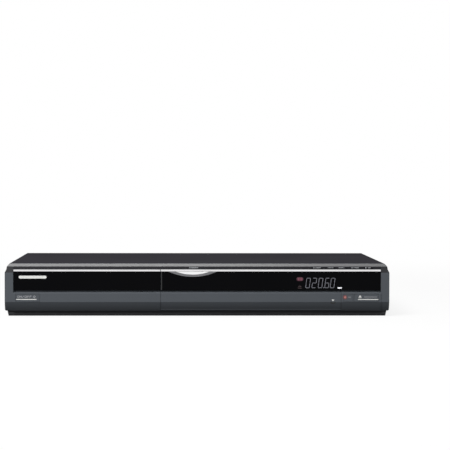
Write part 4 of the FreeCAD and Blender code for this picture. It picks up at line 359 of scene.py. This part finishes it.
def circuit_board(name, mask, trace, pitch):
    """Solder mask with a grid of darker and lighter copper runs below it."""
    material, tree, shader, place = new_material(name)
    runs = tree.nodes.new("ShaderNodeTexBrick")
    runs.inputs["Color1"].default_value = mask
    runs.inputs["Color2"].default_value = [channel * 0.8 for channel in mask[:3]] + [1.0]
    runs.inputs["Mortar"].default_value = trace
    runs.inputs["Scale"].default_value = pitch
    runs.inputs["Mortar Size"].default_value = 0.03
    tree.links.new(place, runs.inputs["Vector"])
    tree.links.new(runs.outputs["Color"], shader.inputs["Base Color"])
    vary_roughness(tree, shader, noise(tree, place, 150.0), 0.3, 0.45)
    bump(tree, shader, runs.outputs["Fac"], 0.00002)
    return material


def printed(name, colour, glow):
    """Printed ink, or a lit display mark where glow is above zero."""
    material, tree, shader, place = new_material(name)
    vary_colour(tree, shader, noise(tree, place, 900.0, 2.0), colour, 0.1)
    vary_roughness(tree, shader, noise(tree, place, 500.0), 0.4, 0.55)
    if glow:
        shader.inputs["Emission Color"].default_value = colour
        shader.inputs["Emission Strength"].default_value = glow
    return material


def clear_lens(name):
    """The pickup's small blue-coated lens."""
    material, tree, shader, place = new_material(name)
    shader.inputs["Coat Weight"].default_value = 1.0
    vary_colour(tree, shader, noise(tree, place, 300.0), (0.05, 0.08, 0.3, 1.0), 0.3)
    vary_roughness(tree, shader, noise(tree, place, 200.0), 0.02, 0.06)
    return material


def make_materials():
    """Every material, by the name of the record's slot that it dresses."""
    steel_x = (0.05, 1.0, 1.0)
    steel_y = (1.0, 0.05, 1.0)
    chrome = (0.78, 0.77, 0.78, 1.0)
    green = (0.02, 0.12, 0.05, 1.0)
    green_runs = (0.05, 0.24, 0.1, 1.0)
    tan = (0.4, 0.25, 0.1, 1.0)
    tan_runs = (0.5, 0.33, 0.15, 1.0)
    return {
        "cover_paint": painted_steel("cover_paint", screen(54, 53, 57), 0.8, 0.0),
        "zinc_steel": brushed("zinc_steel", (0.55, 0.56, 0.57, 1.0), 0.42, steel_x),
        "front_plastic": front_moulding("front_plastic"),
        "bevel_plastic": moulded("bevel_plastic", screen(64, 64, 66), 0.35, specular=0.5),
        "dark_strip": moulded("dark_strip", screen(34, 34, 37), 0.5, specular=0.04),
        "window_plastic": glossy("window_plastic", screen(6, 6, 8), 0.07, 0.03),
        "chrome_trim": brushed("chrome_trim", chrome, 0.2, steel_x, 0.000001, edge=0.0),
        "rim_plastic": moulded("rim_plastic", screen(110, 110, 113), 0.4),
        "lamp_plastic": glossy("lamp_plastic", screen(250, 250, 250), 0.2),
        "rubber": moulded("rubber", screen(28, 28, 29), 0.75, 3000.0, 0.00002),
        "screw_steel": brushed("screw_steel", (0.09, 0.09, 0.1, 1.0), 0.35, steel_y),
        "black_plastic": moulded("black_plastic", screen(30, 30, 31), 0.5),
        "socket_metal": brushed("socket_metal", (0.78, 0.77, 0.74, 1.0), 0.22, steel_y),
        "tin": brushed("tin", (0.66, 0.67, 0.68, 1.0), 0.28, steel_x),
        "gear_plastic": moulded("gear_plastic", screen(222, 219, 208), 0.4, 4000.0),
        "tray_plastic": moulded("tray_plastic", screen(44, 44, 47), 0.42),
        "motor_steel": brushed("motor_steel", (0.62, 0.62, 0.63, 1.0), 0.3, steel_y),
        "board_green": circuit_board("board_green", green, green_runs, 140.0),
        "board_tan": circuit_board("board_tan", tan, tan_runs, 90.0),
        "chip_black": moulded("chip_black", screen(32, 32, 34), 0.55, 5000.0),
        "aluminium": brushed("aluminium", (0.72, 0.73, 0.74, 1.0), 0.35, steel_y),
        "transformer_yellow": moulded("transformer_yellow", screen(205, 175, 60), 0.45, 2500.0),
        "capacitor_sleeve": glossy("capacitor_sleeve", screen(30, 38, 70), 0.25),
        "lens_glass": clear_lens("lens_glass"),
        "display_glass": glossy("display_glass", screen(30, 36, 36), 0.08),
        "ribbon": moulded("ribbon", screen(205, 205, 200), 0.5, 2500.0),
    }


def make_inks():
    """Lit marks, printed inks, a painted shadow, a painted highlight and the colours of the rear
    rings, by name.
    """
    lit = (
        ("figure_grey", (105, 105, 112), 0.35),
        ("figure_white", (215, 215, 220), 0.8),
        ("figure_red", (62, 22, 36), 0.1),
        ("figure_pink", (116, 62, 76), 0.2),
        ("figure_dim", (52, 36, 38), 0.1),
        ("ink_grey", (168, 170, 174), 0.0),
        ("ink_caption", (112, 114, 118), 0.0),
        ("ink_white", (225, 225, 222), 0.0),
        ("ink_red", (172, 112, 106), 0.0),
        ("ink_dim_red", (130, 55, 55), 0.0),
        # A painted shadow for the flap's finger notch
        ("ink_painted_shadow", (8, 8, 9), 0.0),
        # A painted highlight for the window's edge
        ("ink_edge_highlight", (17, 17, 19), 0.0),
    )
    rings = (
        ("insert_red", (178, 30, 32)),
        ("insert_white", (225, 225, 222)),
        ("insert_yellow", (225, 185, 35)),
    )
    inks = {name: printed(name, screen(*tone), glow) for name, tone, glow in lit}
    for name, tone in rings:
        inks[name] = moulded(name, screen(*tone), 0.35)
    return inks


def dress_nodes(frame, materials):
    """Give every node of the part the material of its slot."""
    for entry in frame["record"]["subparts"]:
        node = frame["nodes"][entry["node"]]
        node.data.materials.clear()
        node.data.materials.append(materials[entry["material_slot"]])


def finish_piece(name, builder, material, body):
    """Turn a bmesh into an object that rides on a body and takes its finish from a slot."""
    mesh = bpy.data.meshes.new(name)
    builder.to_mesh(mesh)
    builder.free()
    piece = bpy.data.objects.new(name, mesh)
    bpy.context.scene.collection.objects.link(piece)
    mesh.materials.append(material)
    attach(piece, body)
    return piece


def front_surface(node):
    """What gives a node's front surface, as a depth in millimetres, at any (x, z) place."""
    corners = [node.matrix_world @ vertex.co for vertex in node.data.vertices]
    surface = BVHTree.FromPolygons(corners, [face.vertices[:] for face in node.data.polygons])

    def depth(x, z):
        start = Vector((x, FRONT - PROBE_REACH, z)) * MM
        return surface.ray_cast(start, Vector((0.0, 1.0, 0.0)))[0].y / MM

    return depth


def add_mark(builder, outline, face):
    """A thin printed mark from (x, z) corners on a plane at one depth, or on a front surface."""
    front = []
    back = []
    for x, z in outline:
        face_y = face(x, z) if callable(face) else face
        front.append(builder.verts.new(Vector((x, face_y - MARK_THICKNESS, z)) * MM))
        back.append(builder.verts.new(Vector((x, face_y + MARK_SINK, z)) * MM))
    count = len(outline)
    builder.faces.new(front)
    builder.faces.new(reversed(back))
    for index in range(count):
        after = (index + 1) % count
        builder.faces.new((front[index], back[index], back[after], front[after]))


def marks(name, outlines, face, material, body):
    """One piece of several printed marks."""
    builder = bmesh.new()
    for outline in outlines:
        add_mark(builder, outline, face)
    bmesh.ops.recalc_face_normals(builder, faces=builder.faces)
    return finish_piece(name, builder, material, body)


def bar(x0, x1, z0, z1):
    """A level bar as an outline."""
    return [(x0, z0), (x1, z0), (x1, z1), (x0, z1)]


def triangle(x0, x1, base, tip):
    """A triangle on a level base as an outline."""
    return [(x0, base), (x1, base), ((x0 + x1) / 2, tip)]


def pill(x0, x1, z0, z1, steps=8):
    """A bar with round ends as an outline."""
    radius = (z1 - z0) / 2
    middle = (z0 + z1) / 2
    points = []
    for centre, start in ((x1 - radius, -0.5), (x0 + radius, 0.5)):
        for index in range(steps + 1):
            angle = math.pi * (start + index / steps)
            points.append((centre + radius * math.cos(angle), middle + radius * math.sin(angle)))
    return points


def arc_band(x, z, outer, inner, start, end, steps=20):
    """Short pieces of a ring between two angles in degrees, as outlines."""
    pieces = []
    for index in range(steps):
        a = math.radians(start + (end - start) * index / steps)
        b = math.radians(start + (end - start) * (index + 1) / steps)
        pieces.append([
            (x + outer * math.cos(a), z + outer * math.sin(a)),
            (x + outer * math.cos(b), z + outer * math.sin(b)),
            (x + inner * math.cos(b), z + inner * math.sin(b)),
            (x + inner * math.cos(a), z + inner * math.sin(a)),
        ])
    return pieces


def disc(x, z, radius, steps=24):
    """A round dot as an outline."""
    turn = 2 * math.pi / steps
    return [(x + radius * math.cos(turn * i), z + radius * math.sin(turn * i)) for i in range(steps)]


DIGIT_SEGMENTS = {
    "0": "abcdef",
    "2": "abged",
    "6": "afgedc",
}


def digit_outlines(figure, x):
    """The strokes of one slanted seven-segment figure."""
    width = FIGURE_WIDTH
    height = FIGURE_HEIGHT
    half = height / 2
    stroke = FIGURE_STROKE
    gap = stroke * 0.25
    strokes = {
        "a": ((0, height), (width, height)),
        "b": ((width, height), (width, half)),
        "c": ((width, half), (width, 0)),
        "d": ((0, 0), (width, 0)),
        "e": ((0, half), (0, 0)),
        "f": ((0, height), (0, half)),
        "g": ((0, half), (width, half)),
    }
    outlines = []
    for segment in DIGIT_SEGMENTS[figure]:
        (x0, z0), (x1, z1) = strokes[segment]
        along = Vector((x1 - x0, z1 - z0)).normalized()
        across = Vector((-along.y, along.x)) * stroke / 2
        start = Vector((x0, z0)) + along * (stroke / 2 + gap)
        end = Vector((x1, z1)) - along * (stroke / 2 + gap)
        corners = [
            start - along * stroke / 2, start + across, end + across,
            end + along * stroke / 2, end - across, start - across,
        ]
        outlines.append([(x + p.x + FIGURE_SLANT * p.y, FIGURE_FOOT + p.y) for p in corners])
    return outlines


def display_marks(materials):
    """The lit clock figures and small indicators behind the window."""
    figures = []
    for figure, x in zip(FIGURES, FIGURE_PLACES):
        figures += digit_outlines(figure, x)
    figures.append(disc(POINT_X, FIGURE_FOOT + POINT_RISE, POINT_RADIUS, 8))
    dim_mark = arc_band(*DIM_ARC) + [bar(*DIM_BAR)]
    lit = (
        ("display_figures", figures, "figure_grey"),
        ("display_dash", [pill(*DASH)], "figure_white"),
        ("display_red_field", [pill(*RED_FIELD)], "figure_red"),
        ("display_dim_mark", dim_mark, "figure_dim"),
    )
    for name, outlines, ink in lit:
        marks(name, outlines, WINDOW_FACE, materials[ink], "case")
    field_face = WINDOW_FACE - MARK_THICKNESS
    bars = [bar(x, x + RED_BAR_WIDTH, *RED_BAR_LEVELS) for x in RED_BAR_STARTS]
    marks("display_red_mark", bars, field_face, materials["figure_pink"], "case")


LETTERS = {
    "O": [((0, 0), (1, 0)), ((1, 0), (1, 1)), ((1, 1), (0, 1)), ((0, 1), (0, 0))],
    "N": [((0, 0), (0, 1)), ((0, 1), (1, 0)), ((1, 0), (1, 1))],
    "F": [((0, 0), (0, 1)), ((0, 1), (1, 1)), ((0, 0.5), (0.8, 0.5))],
    "/": [((0, 0), (1, 1))],
}


def stroke_outline(start, end, width):
    """A straight stroke between two points as an outline."""
    along = (end - start).normalized() * width / 2
    across = Vector((-along.y, along.x))
    corners = (
        start - along + across,
        end + along + across,
        end + along - across,
        start - along - across,
    )
    return [(corner.x, corner.y) for corner in corners]


def lettering(text, x, z):
    """Plain capitals from straight strokes."""
    outlines = []
    for index, letter in enumerate(text):
        corner = Vector((x + index * (LETTER_WIDTH + LETTER_GAP), z))
        for start, end in LETTERS[letter]:
            first = corner + Vector((start[0] * LETTER_WIDTH, start[1] * LETTER_HEIGHT))
            last = corner + Vector((end[0] * LETTER_WIDTH, end[1] * LETTER_HEIGHT))
            outlines.append(stroke_outline(first, last, LETTER_STROKE))
    return outlines


def power_symbol(x, z):
    """An open ring with an upright bar."""
    return arc_band(x, z, 1.25, 0.85, -230, 50) + [bar(x - 0.2, x + 0.2, z + 0.1, z + 1.6)]


def front_marks(materials):
    """Plain marks on the drawer and the buttons, and a painted highlight along the window's edge."""
    grey = materials["ink_grey"]
    white = materials["ink_white"]
    power = lettering("ON/OFF", *POWER_TEXT) + power_symbol(*POWER_SYMBOL)
    dot = [disc(*RECORD_DOT, RECORD_DOT_RADIUS)]
    ring = arc_band(*RECORD_DOT, RECORD_RING_OUTER, RECORD_RING_INNER, 0, 360)
    eject = [triangle(*EJECT_TRIANGLE), bar(*EJECT_BAR)]
    marks("drawer_badge", [pill(*BADGE)], WINDOW_FACE, white, "tray")
    marks("power_marks", power, FRONT, grey, "power_button")
    marks("power_line", [bar(*POWER_LINE)], FRONT, white, "power_button")
    marks("record_dot", dot, FRONT, materials["ink_red"], "record_button")
    marks("record_ring", ring, FRONT, materials["ink_dim_red"], "record_button")
    marks("eject_mark", eject, FRONT, white, "open_button")
    marks("open_line", [bar(*OPEN_LINE)], FRONT, white, "open_button")
    captions = (
        ("record_caption", RECORD_CAPTION, "record_button"),
        ("open_caption", OPEN_CAPTION, "open_button"),
    )
    for name, place, body in captions:
        marks(name, [pill(*place)], FRONT, materials["ink_caption"], body)
    # A painted highlight along the window's edge, where the seam catches light
    edge = [bar(*WINDOW_EDGE_HIGHLIGHT)]
    marks("window_edge_highlight", edge, WINDOW_FACE, materials["ink_edge_highlight"], "case")


def flap_marks(frame, materials):
    """The flap's arrow, and a painted shadow of a finger notch under it, as a dark arc that follows
    the curve.
    """
    arrow = [triangle(*FLAP_ARROW)]
    notch_shadow = arc_band(*FLAP_NOTCH_SHADOW)
    surface = front_surface(frame["nodes"]["flap"])
    marks("flap_arrow", arrow, FRONT, materials["ink_white"], "flap")
    # The dark arc is a painted shadow of a finger notch under the arrow
    marks("flap_arrow_shade", notch_shadow, surface, materials["ink_painted_shadow"], "flap")


def tall(x0, x1):
    """A bar as high as a key's symbol."""
    return bar(x0, x1, -KEY_MARK_HALF, KEY_MARK_HALF)


def line(x0, x1):
    """A thin bar for a key's caption."""
    return bar(x0, x1, -KEY_LINE_HALF, KEY_LINE_HALF)


def pointer(x0, x1):
    """A triangle that points from x0 to x1."""
    return [(x0, -KEY_MARK_HALF), (x1, 0.0), (x0, KEY_MARK_HALF)]


def key_marks(materials):
    """Plain transport symbols on the keys, each with a bare line for its caption."""
    forward = [pointer(-1.3, 0.0), pointer(0.0, 1.3)]
    back = [pointer(1.3, 0.0), pointer(0.0, -1.3)]
    shapes = [
        [tall(-4.1, -2.9), line(-1.9, 4.1)],
        back + [tall(-2.0, -1.6), line(1.8, 4.2)],
        forward + [tall(1.6, 2.0), line(-4.2, -1.8)],
        [tall(-3.9, -3.2), tall(-2.7, -2.0), line(-0.9, 4.2)],
        [pointer(-2.7, -0.7), line(0.2, 3.4)],
    ]
    for index, outlines in enumerate(shapes):
        node = f"key_{index + 1}"
        low_corner, high_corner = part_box(node)
        x = (low_corner.x + high_corner.x) / 2 / MM
        z = (low_corner.z + high_corner.z) / 2 / MM + KEY_MARK_RISE
        moved = [[(x + a, z + c) for a, c in outline] for outline in outlines]
        marks(f"{node}_mark", moved, low_corner.y / MM, materials["ink_grey"], node)


def strip_caption(frame, materials):
    """A bare caption on the key strip above the lamp."""
    low_corner, high_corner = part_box("key_1")
    z = (low_corner.z + high_corner.z) / 2 / MM + KEY_MARK_RISE
    outlines = [disc(CAPTION_DOT_X, z, CAPTION_DOT_RADIUS, 10)]
    for x in CAPTION_STARTS:
        outlines.append(bar(x, x + CAPTION_WIDTH, z - CAPTION_HALF, z + CAPTION_HALF))
    surface = front_surface(frame["nodes"]["key_strip"])
    marks("strip_caption", outlines, surface, materials["ink_caption"], "case")


def ring_piece(name, places, material, body, steps=32):
    """Washers on the rear panel with rounded outer corners, at (x, z) places."""
    outer = INSERT_OUTER
    inner = INSERT_INNER
    y0 = PANEL_BACK + INSERT_START
    y1 = PANEL_BACK + INSERT_END
    builder = bmesh.new()
    soft = (outer - inner) * 0.2
    profile = [
        (inner, y0),
        (inner, y1 - soft),
        (inner + soft, y1),
        (outer - soft, y1),
        (outer, y1 - soft),
        (outer, y0),
    ]
    for x, z in places:
        rings = []
        for index in range(steps):
            angle = 2 * math.pi * index / steps
            rings.append([
                builder.verts.new(Vector((x + r * math.cos(angle), y, z + r * math.sin(angle))) * MM)
                for r, y in profile
            ])
        for index in range(steps):
            a = rings[index]
            b = rings[(index + 1) % steps]
            for side in range(len(profile)):
                after = (side + 1) % len(profile)
                builder.faces.new((a[side], b[side], b[after], a[after]))
    bmesh.ops.recalc_face_normals(builder, faces=builder.faces)
    for face in builder.faces:
        face.smooth = True
    return finish_piece(name, builder, material, body)


def spread(first, last, count):
    """Evenly spaced values from the first to the last."""
    pitch = (last - first) / (count - 1)
    return [first + pitch * index for index in range(count)]


def rear_inserts(materials):
    """Coloured insulator rings at the foot of the rear round sockets."""
    low_corner, high_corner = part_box("rca_shells")
    low = low_corner / MM
    high = high_corner / MM
    columns = spread(low.x + SHELL_RADIUS, high.x - SHELL_RADIUS, SHELL_COLUMNS)
    rows = spread(low.z + SHELL_RADIUS, high.z - SHELL_RADIUS, SHELL_ROWS)
    for colour, row in zip(("red", "white", "yellow"), rows):
        places = [(x, row) for x in columns]
        name = f"insert_{colour}"
        ring_piece(f"rear_{name}", places, materials[name], "case")


def stage(materials):
    """A plain pale floor."""
    builder = bmesh.new()
    bmesh.ops.create_grid(builder, x_segments=FLOOR_CELLS, y_segments=FLOOR_CELLS, size=FLOOR_SIZE)
    mesh = bpy.data.meshes.new("floor")
    builder.to_mesh(mesh)
    builder.free()
    floor = bpy.data.objects.new("floor", mesh)
    floor.location.z = -FLOOR_GAP
    bpy.context.scene.collection.objects.link(floor)
    mesh.materials.append(materials["floor"])


def either(tree, first, second):
    """One where either of two ray kinds is met."""
    node = tree.nodes.new("ShaderNodeMath")
    node.operation = "MAXIMUM"
    tree.links.new(first, node.inputs[0])
    tree.links.new(second, node.inputs[1])
    return node.outputs[0]


def seen_rays(tree):
    """One for the rays of the camera and of mirrors and glass, zero for those that carry light."""
    path = tree.nodes.new("ShaderNodeLightPath")
    mirrored = either(tree, path.outputs["Is Glossy Ray"], path.outputs["Is Transmission Ray"])
    return either(tree, path.outputs["Is Camera Ray"], mirrored)


def floor_glow(tree, place):
    """The floor's share of its own white: less near the object's shadow, all of it far off."""
    distance = tree.nodes.new("ShaderNodeVectorMath")
    distance.operation = "LENGTH"
    tree.links.new(place, distance.inputs[0])
    share = tree.nodes.new("ShaderNodeMapRange")
    share.interpolation_type = "SMOOTHSTEP"
    share.inputs["From Min"].default_value = FLOOR_NEAR
    share.inputs["From Max"].default_value = FLOOR_FAR
    share.inputs["To Min"].default_value = FLOOR_GLOW_NEAR
    share.inputs["To Max"].default_value = 1.0
    tree.links.new(distance.outputs["Value"], share.inputs["Value"])
    return share.outputs["Result"]


def floor_material():
    """White paper to the eye that throws little light back up at the object."""
    material, tree, shader, place = new_material("floor")
    shader.inputs["Base Color"].default_value = (FLOOR_SEEN, FLOOR_SEEN, FLOOR_SEEN, 1.0)
    shader.inputs["Roughness"].default_value = 0.9
    shader.inputs["Specular IOR Level"].default_value = 0.0
    glow = tree.nodes.new("ShaderNodeEmission")
    paper = tree.nodes.new("ShaderNodeMixShader")
    tree.links.new(floor_glow(tree, place), paper.inputs[0])
    tree.links.new(shader.outputs[0], paper.inputs[1])
    tree.links.new(glow.outputs[0], paper.inputs[2])
    dull = tree.nodes.new("ShaderNodeBsdfDiffuse")
    dull.inputs["Color"].default_value = (FLOOR_BOUNCE, FLOOR_BOUNCE, FLOOR_BOUNCE, 1.0)
    mix = tree.nodes.new("ShaderNodeMixShader")
    tree.links.new(seen_rays(tree), mix.inputs[0])
    tree.links.new(dull.outputs[0], mix.inputs[1])
    tree.links.new(paper.outputs[0], mix.inputs[2])
    tree.links.new(mix.outputs[0], tree.nodes["Material Output"].inputs["Surface"])
    return material


def light_world():
    """Soft room light, and white where the camera, a mirror or glass sees the background."""
    world = bpy.data.worlds.new("studio")
    bpy.context.scene.world = world
    world.use_nodes = True
    tree = world.node_tree
    room = tree.nodes["Background"]
    room.inputs["Color"].default_value = (1.0, 1.0, 1.0, 1.0)
    room.inputs["Strength"].default_value = WORLD_STRENGTH
    white = tree.nodes.new("ShaderNodeBackground")
    white.inputs["Color"].default_value = (1.0, 1.0, 1.0, 1.0)
    mix = tree.nodes.new("ShaderNodeMixShader")
    tree.links.new(seen_rays(tree), mix.inputs[0])
    tree.links.new(room.outputs[0], mix.inputs[1])
    tree.links.new(white.outputs[0], mix.inputs[2])
    tree.links.new(mix.outputs[0], tree.nodes["World Output"].inputs["Surface"])


def area_light(name, place, size, power):
    """A rectangular softbox that faces the middle of the part."""
    lamp = bpy.data.lights.new(name, "AREA")
    lamp.shape = "RECTANGLE"
    lamp.size = size[0]
    lamp.size_y = size[1]
    lamp.energy = power
    holder = bpy.data.objects.new(name, lamp)
    holder.location = place
    aim = -Vector(place)
    holder.rotation_euler = aim.to_track_quat("-Z", "Y").to_euler()
    bpy.context.scene.collection.objects.link(holder)


def lights():
    """A broad softbox before the left front and a weak one over the back."""
    light_world()
    area_light("key", KEY_PLACE, KEY_SIZE, KEY_POWER)
    area_light("back", BACK_PLACE, BACK_SIZE, BACK_POWER)


def camera():
    """The photograph's view."""
    data = bpy.data.cameras.new("camera")
    data.sensor_width = SENSOR_WIDTH
    data.lens = CAMERA_LENS
    data.clip_end = CAMERA_REACH
    holder = bpy.data.objects.new("camera", data)
    turn = (
        Matrix.Rotation(math.radians(-CAMERA_YAW), 3, "Z")
        @ Matrix.Rotation(math.radians(90.0 - CAMERA_PITCH), 3, "X")
        @ Matrix.Rotation(math.radians(CAMERA_ROLL), 3, "Z")
    )
    holder.location = CAMERA_PLACE
    holder.rotation_euler = turn.to_euler()
    bpy.context.scene.collection.objects.link(holder)
    bpy.context.scene.camera = holder


def main():
    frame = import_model()
    materials = make_materials()
    dress_nodes(frame, materials)
    materials.update(make_inks())
    materials["floor"] = floor_material()
    display_marks(materials)
    front_marks(materials)
    flap_marks(frame, materials)
    key_marks(materials)
    strip_caption(frame, materials)
    rear_inserts(materials)
    stage(materials)
    lights()
    camera()
    bpy.context.scene.view_settings.view_transform = "Standard"
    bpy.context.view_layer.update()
    return frame


main()
